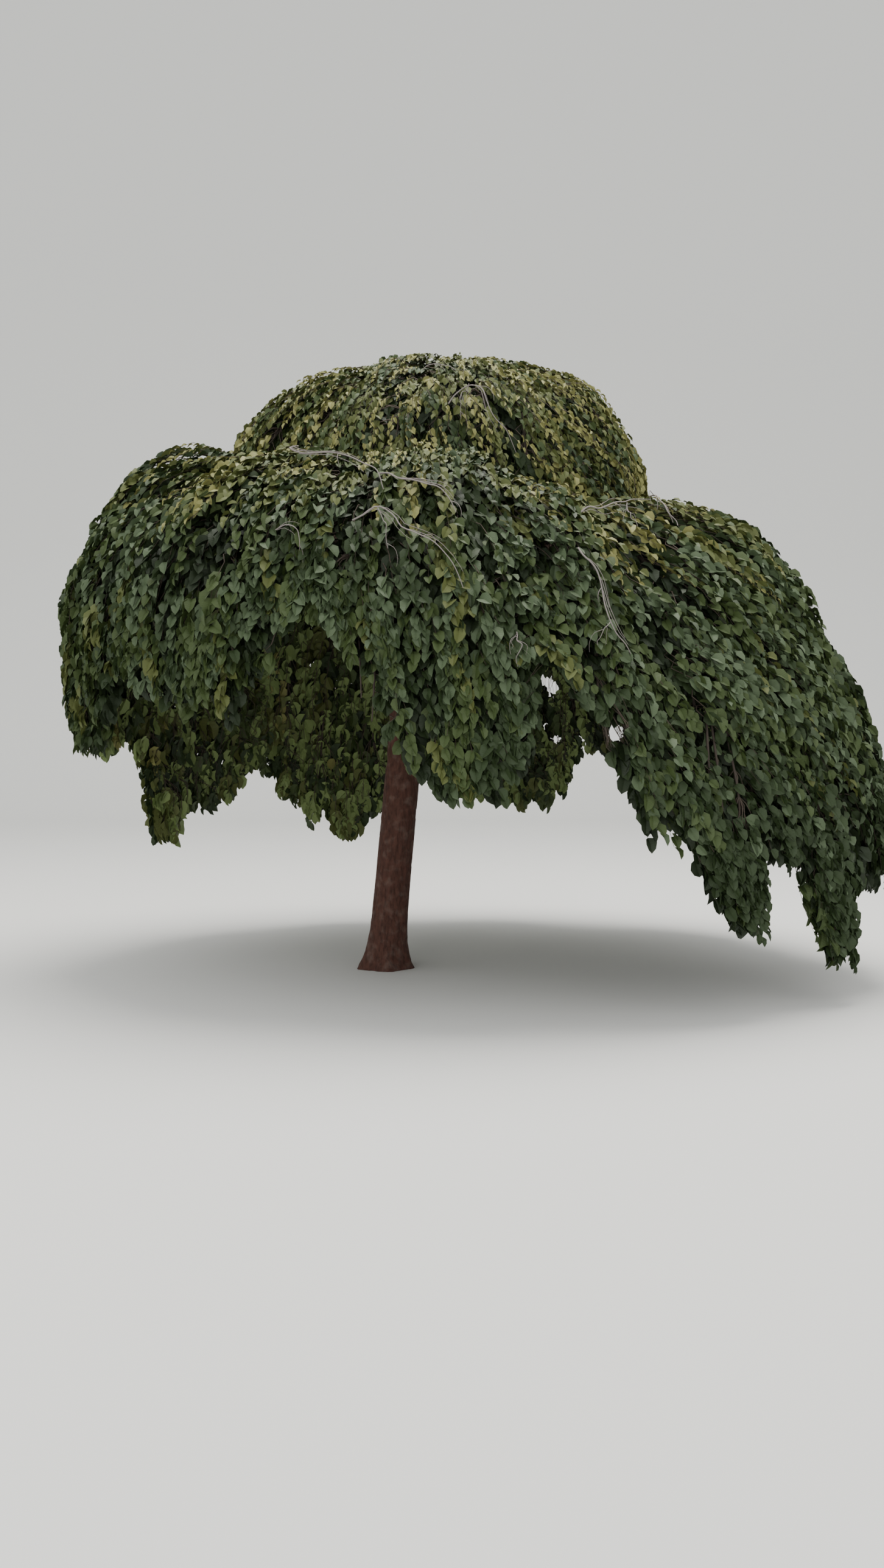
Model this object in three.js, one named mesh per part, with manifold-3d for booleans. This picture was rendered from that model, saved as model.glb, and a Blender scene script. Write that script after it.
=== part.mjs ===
// A grafted weeping elm: one leaning trunk with a root flare, boughs that arch out of the graft,
// and an umbrella crown of leaf masses round the open space under it. Millimetres, +Z up.
// The origin is the centre of the flat cut under the trunk. The side seen in the photograph faces -Y.
import * as THREE from "three";
import { mergeVertices } from "three/addons/utils/BufferGeometryUtils.js";
import Module from "manifold-3d";

const wasm = await Module();
wasm.setup();

// Driving dimensions of the trunk
const TRUNK_RADIUS = 116;
const FORK_HEIGHT = 2050;
const TRUNK_LEAN = 0.0914;
const FLARE = { reach: 62, height: 210, ridges: 5, ridgeDepth: 14 };
const GRAFT = { swelling: 34, height: 1880, spread: 170, dome: 110 };

// Driving dimensions of the crown
const CROWN_TOP = 3960;
const CROWN_AXIS_X = 500;
const COLUMN_DEG = 6;
const TOP_TUFT_REACH = 0.36;
const SHOULDER_SHARE = 0.47;
const CAP_POWER = 2.15;
const THICKNESS = { top: 380, shoulder: 370, curtain: 300, hem: 150 };
const SWELL = { lobe: 100, roundness: 0.6, hemShare: 0.5 };
const UNEVEN = 38;
const ROWS = { tuft: 2, cap: 3, shoulder: 4, curtain: 4, tip: 4 };

// Clearance between solids that touch
const GAP = 0.3;

// Each lobe of the crown hangs from one arching bough. Azimuths are in degrees round the crown's
// axis, from +X towards +Y. rimRadius and rimHeight are where the lobe leaves the upper dome.
// reach is how far out it comes, at reachHeight, and a low squareness makes its shoulder full.
// hem is its lowest edge, notch is the height of the gap at its first azimuth, and slopes are how
// many degrees that gap takes before and after it.
const LOBES = [
  { name: "right", from: -42, to: 12, rimRadius: 1200, rimHeight: 2975, reach: 2620, reachHeight: 760, squareness: 1.25, hem: 690, notch: 900, slopes: [12, 12] },
  { name: "back_right", from: 12, to: 60, rimRadius: 1250, rimHeight: 3080, reach: 2480, reachHeight: 1150, squareness: 1.3, hem: 930, notch: 1120, slopes: [12, 12] },
  { name: "back", from: 60, to: 96, rimRadius: 1320, rimHeight: 3180, reach: 2360, reachHeight: 1350, squareness: 1.1, hem: 1000, notch: 1500, slopes: [12, 12] },
  { name: "back_left", from: 96, to: 132, rimRadius: 1330, rimHeight: 3260, reach: 2320, reachHeight: 1350, squareness: 0.9, hem: 900, notch: 1350, slopes: [12, 12] },
  { name: "left_back", from: 132, to: 168, rimRadius: 1400, rimHeight: 3250, reach: 2380, reachHeight: 1700, squareness: 0.65, hem: 1020, notch: 1260, slopes: [12, 12] },
  { name: "left", from: 168, to: 210, rimRadius: 1440, rimHeight: 3280, reach: 2430, reachHeight: 1860, squareness: 0.78, hem: 1470, notch: 1500, slopes: [12, 12] },
  { name: "front_left", from: 210, to: 246, rimRadius: 1180, rimHeight: 3110, reach: 2230, reachHeight: 1980, squareness: 0.8, hem: 1690, notch: 1860, slopes: [12, 12] },
  { name: "front", from: 246, to: 282, rimRadius: 1110, rimHeight: 3130, reach: 2080, reachHeight: 1650, squareness: 0.9, hem: 1230, notch: 2080, slopes: [12, 18] },
  { name: "front_right", from: 282, to: 318, rimRadius: 1150, rimHeight: 2900, reach: 2260, reachHeight: 1100, squareness: 1.3, hem: 1000, notch: 1790, slopes: [6, 18] },
];

// The upper dome is parted into these lobes, which stand swell out of it.
const CAP_LOBES = [
  { name: "right", from: -42, to: 36, swell: 30 },
  { name: "back", from: 36, to: 114, swell: 40 },
  { name: "left", from: 114, to: 186, swell: 40 },
  { name: "front_left", from: 186, to: 252, swell: 30 },
  { name: "front", from: 252, to: 318, swell: 50 },
];

// Bunches that hang below the hem, two columns wide, down to their lowest leaves.
const TIPS = [
  { name: "tip_right_outer", from: -36, to: -24, bottom: 130 },
  { name: "tip_right_inner", from: 306, to: 318, bottom: 360 },
  { name: "tip_back_right", from: 24, to: 36, bottom: 560 },
  { name: "tip_back_left", from: 108, to: 120, bottom: 780 },
  { name: "tip_left_back", from: 150, to: 162, bottom: 790 },
];

// Boughs run from the graft into the shoulder of each lobe, and leaders into the upper dome.
const BOUGH = { baseRadius: 44, tipRadius: 27, start: 70, entry: 1.3, arch: 330, sides: 10, steps: 7 };
const LEADER = { baseRadius: 46, tipRadius: 24, start: 20, entry: 0.62, arch: 90, sides: 10, steps: 7 };
const LEADERS = [
  { name: "leader_right", azimuth: 20 },
  { name: "leader_left", azimuth: 160 },
  { name: "leader_front", azimuth: 270 },
];

const COLOURS = {
  bark: { color: 0x5a4038, roughness: 0.9, metalness: 0 },
  leaf: { color: 0x35502f, roughness: 0.6, metalness: 0 },
};

const radians = THREE.MathUtils.degToRad;
const mix = THREE.MathUtils.lerp;
const middle = (lobe) => (lobe.from + lobe.to) / 2;

// A smooth periodic function of azimuth through [degrees, value] pairs.
function roundCrown(pairs) {
  const sorted = pairs.map(([d, v]) => [((d % 360) + 360) % 360, v]).sort((a, b) => a[0] - b[0]);
  const last = sorted.length - 1;
  const knots = [[sorted[last][0] - 360, sorted[last][1]], ...sorted, [sorted[0][0] + 360, sorted[0][1]]];
  return (degrees) => {
    const d = ((degrees % 360) + 360) % 360;
    const i = knots.findIndex((k, n) => n > 0 && k[0] >= d);
    const [d0, v0] = knots[i - 1];
    const [d1, v1] = knots[i];
    const t = (d - d0) / (d1 - d0);
    return mix(v0, v1, (1 - Math.cos(Math.PI * t)) / 2);
  };
}

const perLobe = (key) => roundCrown(LOBES.map((lobe) => [middle(lobe), lobe[key]]));
const rimRadius = perLobe("rimRadius");
const rimHeight = perLobe("rimHeight");
const reach = perLobe("reach");
const reachHeight = perLobe("reachHeight");
const squareness = perLobe("squareness");
const hem = roundCrown(LOBES.flatMap((lobe, n) => {
  const before = LOBES[(n + LOBES.length - 1) % LOBES.length];
  return [
    [lobe.from - lobe.slopes[0], before.hem],
    [lobe.from, lobe.notch],
    [lobe.from + lobe.slopes[1], lobe.hem],
  ];
}));

// Stations run down the crown: 0 at its top, 1 at the upper dome's rim, 2 at the foot of the
// shoulder and 3 at the hem. Returns radius from the crown's axis and height.
function profile(degrees, station) {
  const rim = rimRadius(degrees);
  const rimZ = rimHeight(degrees);
  if (station < 1) {
    const share = Math.sin((station * Math.PI) / 2);
    return [rim * share, rimZ + (CROWN_TOP - rimZ) * Math.sqrt(Math.max(0, 1 - share ** CAP_POWER))];
  }
  const out = reach(degrees);
  const bottom = hem(degrees);
  const turn = Math.max(reachHeight(degrees), bottom);
  const arc = (Math.PI / 2) * Math.hypot((out - rim) * Math.SQRT1_2, (rimZ - turn) * Math.SQRT1_2);
  const length = arc + turn - bottom;
  const down = station < 2 ? (station - 1) * SHOULDER_SHARE : mix(SHOULDER_SHARE, 1, station - 2);
  const along = down * length;
  if (along > arc) return [out, turn - (along - arc)];
  const angle = ((along / arc) * Math.PI) / 2;
  return [rim + (out - rim) * Math.sin(angle), turn + (rimZ - turn) * Math.cos(angle) ** squareness(degrees)];
}

// The profile's unit direction down the crown, averaged over a short stretch so that it turns
// smoothly where two parts of the profile meet.
function slope(degrees, station) {
  const reachOver = 0.14;
  const [r0, z0] = profile(degrees, Math.max(0, station - reachOver));
  const [r1, z1] = profile(degrees, Math.min(3, station + reachOver));
  const size = Math.hypot(r1 - r0, z1 - z0);
  return [(r1 - r0) / size, (z1 - z0) / size];
}

function thickness(station) {
  if (station < 1) return mix(THICKNESS.top, THICKNESS.shoulder, station);
  if (station < 2) return mix(THICKNESS.shoulder, THICKNESS.curtain, station - 1);
  return mix(THICKNESS.curtain, THICKNESS.hem, station - 2);
}

// How far a lobe stands out: not at all on the lines between lobes, and most down its middle.
function swelling(degrees, station) {
  const inDome = station <= 1;
  const turned = (from) => (((degrees - from) % 360) + 360) % 360;
  const lobe = (inDome ? CAP_LOBES : LOBES).find(({ from, to }) => turned(from) <= to - from);
  const across = turned(lobe.from) / (lobe.to - lobe.from);
  const hump = (share) => Math.max(0, 4 * share * (1 - share)) ** SWELL.roundness;
  if (inDome) return lobe.swell * hump(across) * hump(Math.max(0, (station - TOP_TUFT_REACH) / (1 - TOP_TUFT_REACH)));
  const upper = Math.sin(Math.PI * Math.min(0.5, station - 1));
  const lower = mix(1, SWELL.hemShare, Math.max(0, station - 2.5) * 2);
  return SWELL.lobe * hump(across) * upper * lower;
}

// Hollows and swellings of the leaf surface, in two sizes.
function uneven(degrees, station) {
  const broad = Math.sin(radians(degrees * 5) + station * 3.1) * Math.cos(radians(degrees * 3) - station * 2.3);
  const small = Math.sin(radians(degrees * 7) + station * 9.7) * Math.cos(radians(degrees * 4) - station * 7.9);
  return UNEVEN * (broad + 0.55 * small) * Math.min(1, station / TOP_TUFT_REACH);
}

const placed = (degrees, radius, height) =>
  new THREE.Vector3(
    CROWN_AXIS_X + radius * Math.cos(radians(degrees)),
    radius * Math.sin(radians(degrees)),
    height,
  );

// A point of the crown: proud is how far outside the profile it lies.
function crownPoint(degrees, station, proud) {
  const [r, z] = profile(degrees, station);
  const [dr, dz] = slope(degrees, station);
  return placed(degrees, r - dz * proud, z + dr * proud);
}

// A closed geometry from a grid of outer and inner points. Columns run anticlockwise seen from
// above and rows run down the crown. A ring has no end walls.
function shell(columns, rows, point, ring = false) {
  const positions = [];
  for (const side of [0, 1])
    for (let j = 0; j <= rows; j++)
      for (let i = 0; i <= columns; i++) positions.push(...point(i, j, side).toArray());
  const at = (i, j, side) => (side * (rows + 1) + j) * (columns + 1) + i;
  const faces = [];
  for (let i = 0; i < columns; i++) {
    for (let j = 0; j < rows; j++) {
      faces.push(at(i, j, 1), at(i, j + 1, 1), at(i + 1, j + 1, 1), at(i, j, 1), at(i + 1, j + 1, 1), at(i + 1, j, 1));
      faces.push(at(i, j, 0), at(i + 1, j + 1, 0), at(i, j + 1, 0), at(i, j, 0), at(i + 1, j, 0), at(i + 1, j + 1, 0));
    }
    faces.push(at(i, 0, 0), at(i, 0, 1), at(i + 1, 0, 0), at(i, 0, 1), at(i + 1, 0, 1), at(i + 1, 0, 0));
    faces.push(at(i, rows, 0), at(i + 1, rows, 0), at(i, rows, 1));
    faces.push(at(i, rows, 1), at(i + 1, rows, 0), at(i + 1, rows, 1));
  }
  for (let j = 0; j < rows && !ring; j++) {
    faces.push(at(0, j, 0), at(0, j + 1, 0), at(0, j + 1, 1), at(0, j, 0), at(0, j + 1, 1), at(0, j, 1));
    const n = columns;
    faces.push(at(n, j, 0), at(n, j + 1, 1), at(n, j + 1, 0), at(n, j, 0), at(n, j, 1), at(n, j + 1, 1));
  }
  const made = new THREE.BufferGeometry();
  made.setAttribute("position", new THREE.Float32BufferAttribute(positions, 3));
  made.setIndex(faces);
  return withoutSlivers(mergeVertices(made, 1e-3));
}

// Drops the triangles whose corners have merged, as at a pole.
function withoutSlivers(geometry) {
  const old = geometry.index.array;
  const kept = [];
  for (let i = 0; i < old.length; i += 3) {
    const [a, b, c] = [old[i], old[i + 1], old[i + 2]];
    if (a !== b && b !== c && c !== a) kept.push(a, b, c);
  }
  geometry.setIndex(kept);
  return geometry;
}

// One mass of leaves over a patch of the crown, from one azimuth and station to another. grown
// makes it GAP larger all round, which is what trims a bough where it enters the mass.
function massGeometry({ from, to, first, last, rows }, grown = 0) {
  const columns = Math.round((to - from) / COLUMN_DEG);
  const inset = GAP / 2 - grown;
  const ring = to - from === 360;
  const point = (i, j, side) => {
    const degrees = from + i * COLUMN_DEG;
    const station = mix(first, last, j / rows);
    const outer = swelling(degrees, station) + uneven(degrees, station) + grown;
    const p = crownPoint(degrees, station, side ? outer : -thickness(station) - grown);
    const round = new THREE.Vector3(-Math.sin(radians(degrees)), Math.cos(radians(degrees)), 0);
    if (!ring && i === 0) p.addScaledVector(round, inset);
    if (!ring && i === columns) p.addScaledVector(round, -inset);
    const [dr, dz] = slope(degrees, station);
    const downward = placed(degrees, dr, dz).sub(placed(degrees, 0, 0));
    if (j === 0 && first > 0) p.addScaledVector(downward, inset);
    if (j === rows) p.addScaledVector(downward, -inset);
    return p;
  };
  return shell(columns, rows, point, ring);
}

// A bunch below the hem: it starts on the hem's own edge, narrows and thins as it hangs.
function tipGeometry({ from, to, bottom }) {
  const columns = Math.round((to - from) / COLUMN_DEG);
  const narrowing = 0.62;
  const thinning = 0.35;
  const point = (i, j, side) => {
    const down = j / ROWS.tip;
    const across = mix(i / columns, 0.5, narrowing * down ** 1.3);
    const degrees = mix(from, to, across);
    const proud = side ? swelling(degrees, 3) + uneven(degrees, 3) : -thickness(3);
    const start = crownPoint(degrees, 3, proud);
    const centre = crownPoint(degrees, 3, -thickness(3) / 2);
    const p = start.clone().lerp(new THREE.Vector3(centre.x, centre.y, start.z), thinning * down);
    p.z = mix(start.z - GAP / 2, bottom, down);
    return p;
  };
  return shell(columns, ROWS.tip, point);
}

function solidOf(geometry) {
  const bare = new THREE.BufferGeometry();
  bare.setAttribute("position", geometry.getAttribute("position"));
  bare.setIndex(geometry.index);
  const merged = mergeVertices(bare, 1e-3);
  const vertProperties = merged.attributes.position.array;
  return new wasm.Manifold(new wasm.Mesh({ numProp: 3, vertProperties, triVerts: new Uint32Array(merged.index.array) }));
}

function geometryOf(solid) {
  const mesh = solid.getMesh();
  const made = new THREE.BufferGeometry();
  made.setAttribute("position", new THREE.Float32BufferAttribute(mesh.vertProperties, 3));
  made.setIndex([...mesh.triVerts]);
  return made;
}

const trunkAxis = (height) => new THREE.Vector3(TRUNK_LEAN * height, 0, height);

// The trunk tapers a little, flares in ridges at its foot and swells at the graft. grown adds to
// its radius and top.
function trunkGeometry(grown = 0) {
  const made = new THREE.CylinderGeometry(1, 1, 1, 30, 20);
  const p = made.getAttribute("position");
  const top = FORK_HEIGHT + grown;
  for (let n = 0; n < p.count; n++) {
    const share = (p.getY(n) + 0.5) ** 1.15;
    const height = share * top;
    const angle = Math.atan2(p.getZ(n), p.getX(n));
    const foot = Math.exp(-height / (FLARE.height * 0.55));
    const ridges = FLARE.ridgeDepth * foot * Math.cos(FLARE.ridges * angle + 0.8);
    const graft = GRAFT.swelling * Math.exp(-(((height - GRAFT.height) / GRAFT.spread) ** 2));
    const fromTop = Math.min(1, (top - height) / GRAFT.dome);
    const rounding = Math.sqrt(1 - 0.55 * (1 - fromTop) ** 2);
    const taper = TRUNK_RADIUS * (1 - 0.04 * (height / FORK_HEIGHT));
    const radius = (taper + FLARE.reach * foot + ridges + graft) * rounding + grown;
    const onAxis = Math.hypot(p.getX(n), p.getZ(n)) < 1e-6;
    const centre = trunkAxis(height);
    const r = onAxis ? 0 : radius;
    p.setXYZ(n, centre.x + r * Math.cos(angle), -r * Math.sin(angle), centre.z);
  }
  return made;
}

// A round limb that tapers along a curve lying in one upright plane.
function limbGeometry(curve, baseRadius, tipRadius, { sides, steps }) {
  const made = new THREE.CylinderGeometry(1, 1, 1, sides, steps);
  const p = made.getAttribute("position");
  const run = curve.getPoint(1).sub(curve.getPoint(0));
  const side = new THREE.Vector3(-run.y, run.x, 0).normalize();
  for (let n = 0; n < p.count; n++) {
    const t = p.getY(n) + 0.5;
    const along = curve.getTangent(t);
    const across = new THREE.Vector3().crossVectors(side, along);
    const radius = mix(baseRadius, tipRadius, t);
    const [x, z] = [p.getX(n), p.getZ(n)];
    const at = curve.getPoint(t).addScaledVector(side, x * radius).addScaledVector(across, z * radius);
    p.setXYZ(n, at.x, at.y, at.z);
  }
  return made;
}

// A bough's curve: out of the graft, up in an arch, and 150 mm deep into its mass.
function boughCurve(azimuth, { start, entry, arch }) {
  const inside = 150;
  const graft = trunkAxis(GRAFT.height + 70);
  const end = crownPoint(azimuth, entry, -thickness(entry) + inside);
  const out = end.clone().sub(graft).setZ(0).normalize();
  const begin = graft.clone().addScaledVector(out, start);
  const control = begin.clone().lerp(end, 0.5).add(new THREE.Vector3(0, 0, arch));
  return new THREE.QuadraticBezierCurve3(begin, control, end);
}

// The largest piece of a solid that cuts have parted.
function largest(solid) {
  return solid.decompose().sort((a, b) => b.volume() - a.volume())[0];
}

const masses = [
  { name: "foliage_top", from: 0, to: 360, first: 0, last: TOP_TUFT_REACH, rows: ROWS.tuft },
  ...CAP_LOBES.map((lobe) => ({
    ...lobe, name: `foliage_dome_${lobe.name}`, first: TOP_TUFT_REACH, last: 1, rows: ROWS.cap,
  })),
  ...LOBES.map((lobe) => ({
    ...lobe, name: `foliage_shoulder_${lobe.name}`, first: 1, last: 2, rows: ROWS.shoulder,
  })),
  ...LOBES.map((lobe) => ({
    ...lobe, name: `foliage_curtain_${lobe.name}`, first: 2, last: 3, rows: ROWS.curtain,
  })),
];

const leafMaterial = new THREE.MeshStandardMaterial(COLOURS.leaf);
const barkMaterial = new THREE.MeshStandardMaterial(COLOURS.bark);
const tree = new THREE.Group();

function add(name, geometry, material) {
  geometry.computeVertexNormals();
  const mesh = new THREE.Mesh(geometry, material);
  mesh.name = name;
  tree.add(mesh);
}

add("trunk", trunkGeometry(), barkMaterial);
masses.forEach((mass) => add(mass.name, massGeometry(mass), leafMaterial));
TIPS.forEach((tip) => add(`foliage_${tip.name}`, tipGeometry(tip), leafMaterial));

const grownTrunk = solidOf(trunkGeometry(GAP));
const grownMasses = masses.map((mass) => solidOf(massGeometry(mass, GAP)));
const limbs = [
  ...LOBES.map((lobe) => ({ name: `bough_${lobe.name}`, azimuth: middle(lobe), size: BOUGH })),
  ...LEADERS.map((leader) => ({ ...leader, size: LEADER })),
];
const givenWay = [grownTrunk, ...grownMasses];
for (const { name, azimuth, size } of limbs) {
  const curve = boughCurve(azimuth, size);
  const limb = (grown) => solidOf(limbGeometry(curve, size.baseRadius + grown, size.tipRadius + grown, size));
  const cut = givenWay.reduce((left, other) => left.subtract(other), limb(0));
  add(name, geometryOf(largest(cut)), barkMaterial);
  givenWay.push(limb(GAP));
}

export default tree;
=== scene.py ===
"""Looks of the weeping elm. Bark with relief takes the place of the trunk and boughs, and limbs,
twigs and leaves that grow on from them take the place of the foliage masses. Metres, +Z up, in the
frame of the CAD model: the origin is the centre of the cut under the trunk, and the side seen in
the photograph faces -Y."""

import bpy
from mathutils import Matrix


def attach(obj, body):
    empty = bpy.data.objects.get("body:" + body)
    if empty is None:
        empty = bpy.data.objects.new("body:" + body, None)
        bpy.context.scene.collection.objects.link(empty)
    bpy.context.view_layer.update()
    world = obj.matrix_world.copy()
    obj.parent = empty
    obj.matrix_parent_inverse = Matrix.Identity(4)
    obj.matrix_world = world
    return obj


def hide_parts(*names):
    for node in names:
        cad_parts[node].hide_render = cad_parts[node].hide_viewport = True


bl_info = {
    "name": "Weeping Elm",
    "version": (1, 0, 0),
    "blender": (4, 5, 0),
    "location": "View3D > Sidebar > Weeping Elm",
    "description": "Builds the bark, limbs, twigs and leaves of a weeping elm, and its studio",
    "category": "Add Mesh",
}

import math
from typing import NamedTuple

import bpy
import numpy as np
from bpy.props import FloatProperty, FloatVectorProperty, IntProperty, PointerProperty
from mathutils import kdtree

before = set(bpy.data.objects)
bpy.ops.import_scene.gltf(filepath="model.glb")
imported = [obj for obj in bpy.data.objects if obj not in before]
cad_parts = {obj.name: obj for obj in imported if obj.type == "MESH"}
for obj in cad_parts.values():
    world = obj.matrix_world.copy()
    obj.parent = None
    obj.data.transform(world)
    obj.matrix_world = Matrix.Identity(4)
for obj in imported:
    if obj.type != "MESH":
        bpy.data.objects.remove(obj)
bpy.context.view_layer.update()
SEED = 4102

# Shape of the crown, repeated from the CAD model in metres
CROWN_TOP = 3.960
CROWN_AXIS_X = 0.500
TOP_TUFT_REACH = 0.36
SHOULDER_SHARE = 0.47
CAP_POWER = 2.15
PAD_THICKNESS = (0.380, 0.370, 0.300, 0.150)
SWELL_LOBE = 0.100
SWELL_ROUNDNESS = 0.6
SWELL_HEM_SHARE = 0.5
UNEVEN = 0.038
SLOPE_STRETCH = 0.14

# Shape of the trunk and boughs, repeated from the CAD model in metres
TRUNK_LEAN = 0.0914
TRUNK_TAPER = 0.04
FLARE_FALL = 0.55
FLARE_RIDGES = 5
FLARE_RIDGE_DEPTH = 0.014
FLARE_TURN = 0.8
GRAFT_SWELLING = 0.034
GRAFT_HEIGHT = 1.880
GRAFT_SPREAD = 0.170
GRAFT_DOME = 0.110
BOUGH_ABOVE_GRAFT = 0.070
BOUGH_END_DEPTH = 0.150


class Lobe(NamedTuple):
    """One lobe of the crown, hung from one bough. Azimuths run from +X towards +Y, in degrees."""

    name: str
    start: float
    end: float
    rim_radius: float
    rim_height: float
    reach: float
    reach_height: float
    squareness: float
    hem: float
    notch: float
    tip: str = ""
    slopes: tuple = (12, 12)
    swell: float = SWELL_LOBE


LOBES = (
    Lobe("right", -42, 12, 1.200, 2.975, 2.620, 0.760, 1.25, 0.690, 0.900, "right_outer"),
    Lobe("back_right", 12, 60, 1.250, 3.080, 2.480, 1.150, 1.30, 0.930, 1.120, "back_right"),
    Lobe("back", 60, 96, 1.320, 3.180, 2.360, 1.350, 1.10, 1.000, 1.500),
    Lobe("back_left", 96, 132, 1.330, 3.260, 2.320, 1.350, 0.90, 0.900, 1.350, "back_left"),
    Lobe("left_back", 132, 168, 1.400, 3.250, 2.380, 1.700, 0.65, 1.020, 1.260, "left_back"),
    Lobe("left", 168, 210, 1.440, 3.280, 2.430, 1.860, 0.78, 1.470, 1.500),
    Lobe("front_left", 210, 246, 1.180, 3.110, 2.230, 1.980, 0.80, 1.690, 1.860),
    Lobe("front", 246, 282, 1.110, 3.130, 2.080, 1.650, 0.90, 1.230, 2.080, slopes=(12, 18)),
    Lobe("front_right", 282, 318, 1.150, 2.900, 2.260, 1.100, 1.30, 1.000, 1.790, "right_inner", (6, 18)),
)


class Cap(NamedTuple):
    """One lobe of the upper dome, and how far it stands out of it."""

    name: str
    start: float
    end: float
    swell: float


CAPS = (
    Cap("right", -42, 36, 0.030),
    Cap("back", 36, 114, 0.040),
    Cap("left", 114, 186, 0.040),
    Cap("front_left", 186, 252, 0.030),
    Cap("front", 252, 318, 0.050),
)


class Tip(NamedTuple):
    """A bunch that hangs below a lobe's hem, down to bottom. Its middle leans from one share of its
    width at the hem to another at the bottom."""

    start: float
    end: float
    bottom: float
    middle: tuple = (0.5, 0.5)


TIPS = {
    "right_outer": Tip(-36, -24, 0.130, (0.19, 0.50)),
    "right_inner": Tip(306, 318, 0.360, (0.05, 0.60)),
    "back_right": Tip(24, 36, 0.560),
    "back_left": Tip(108, 120, 0.780),
    "left_back": Tip(150, 162, 0.790),
}
TIP_WIDTHS = (0.60, 0.20)
TIP_THINNING = 0.35

# How a bunch ends: how much shorter its sides are, how ragged it is, its sprays a metre and their length
TIP_SHORTER_SIDES = 0.12
TIP_RAGGED = 0.08
TIP_SPRAYS = 160
TIP_SPRAY_LENGTH = 0.28


class LimbSize(NamedTuple):
    """Sizes of a bough or leader: radii, where it starts and enters the leaves, and its arch."""

    base: float
    tip: float
    start: float
    entry: float
    arch: float


BOUGH = LimbSize(0.044, 0.027, 0.070, 1.30, 0.330)
LEADER = LimbSize(0.046, 0.024, 0.020, 0.62, 0.090)
LEADERS = {"leader_right": 20, "leader_left": 160, "leader_front": 270}

# How much thicker a bough's bark makes it where it leaves the graft, over what length, and its knots
BOUGH_COLLAR, BOUGH_COLLAR_LENGTH = 0.5, 0.09
BOUGH_KNOTS = 0.07

# Size of the ridges in the bark
BARK_RIDGE_WIDTH = 0.030
BARK_RIDGE_LENGTH = 0.085

# How finely the round pieces are divided, along them and round them
TRUNK_RINGS, TRUNK_SIDES = 170, 96
BOUGH_RINGS, BOUGH_SIDES = 44, 24
LIMB_POINTS, LIMB_SIDES = 26, 7
SPUR_POINTS, SPRAY_POINTS, TWIG_SIDES = 8, 4, 3

# The last stations that limbs hang at, their depths inside the leaf surface from end to end, and their
# radii: how much more at the base than at the tip, and at the tip
LOBE_LIMB_STATIONS = (1.95, 2.4, 2.75, 2.97)
DOME_LIMB_STATIONS = (0.82, 0.98, 1.12)
LOBE_LIMB_DEPTHS = (0.17, 0.18, 0.18, 0.17, 0.15, 0.11)
DOME_LIMB_DEPTHS = (0.15, 0.14, 0.13, 0.13, 0.12)
TIP_LIMB_DEPTH = 0.09
LOBE_LIMB = (0.0155, 0.0032)
DOME_LIMB = (0.0135, 0.0030)
TIP_LIMB = (0.0047, 0.0028)
LIMB_SPACING = 8.5

# Radii of twigs at their base and tip, how crooked they are, and how many nearby points on limbs each
# chooses its root from
TWIG_BASE, TWIG_TIP = 0.0042, 0.0011
TWIG_CROOKED = 0.004
TWIG_CHOICES = 6

# A point low inside the crown, by which inwards and a limb's sides are told
CROWN_HEART = (CROWN_AXIS_X, 0, 1.6)

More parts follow.
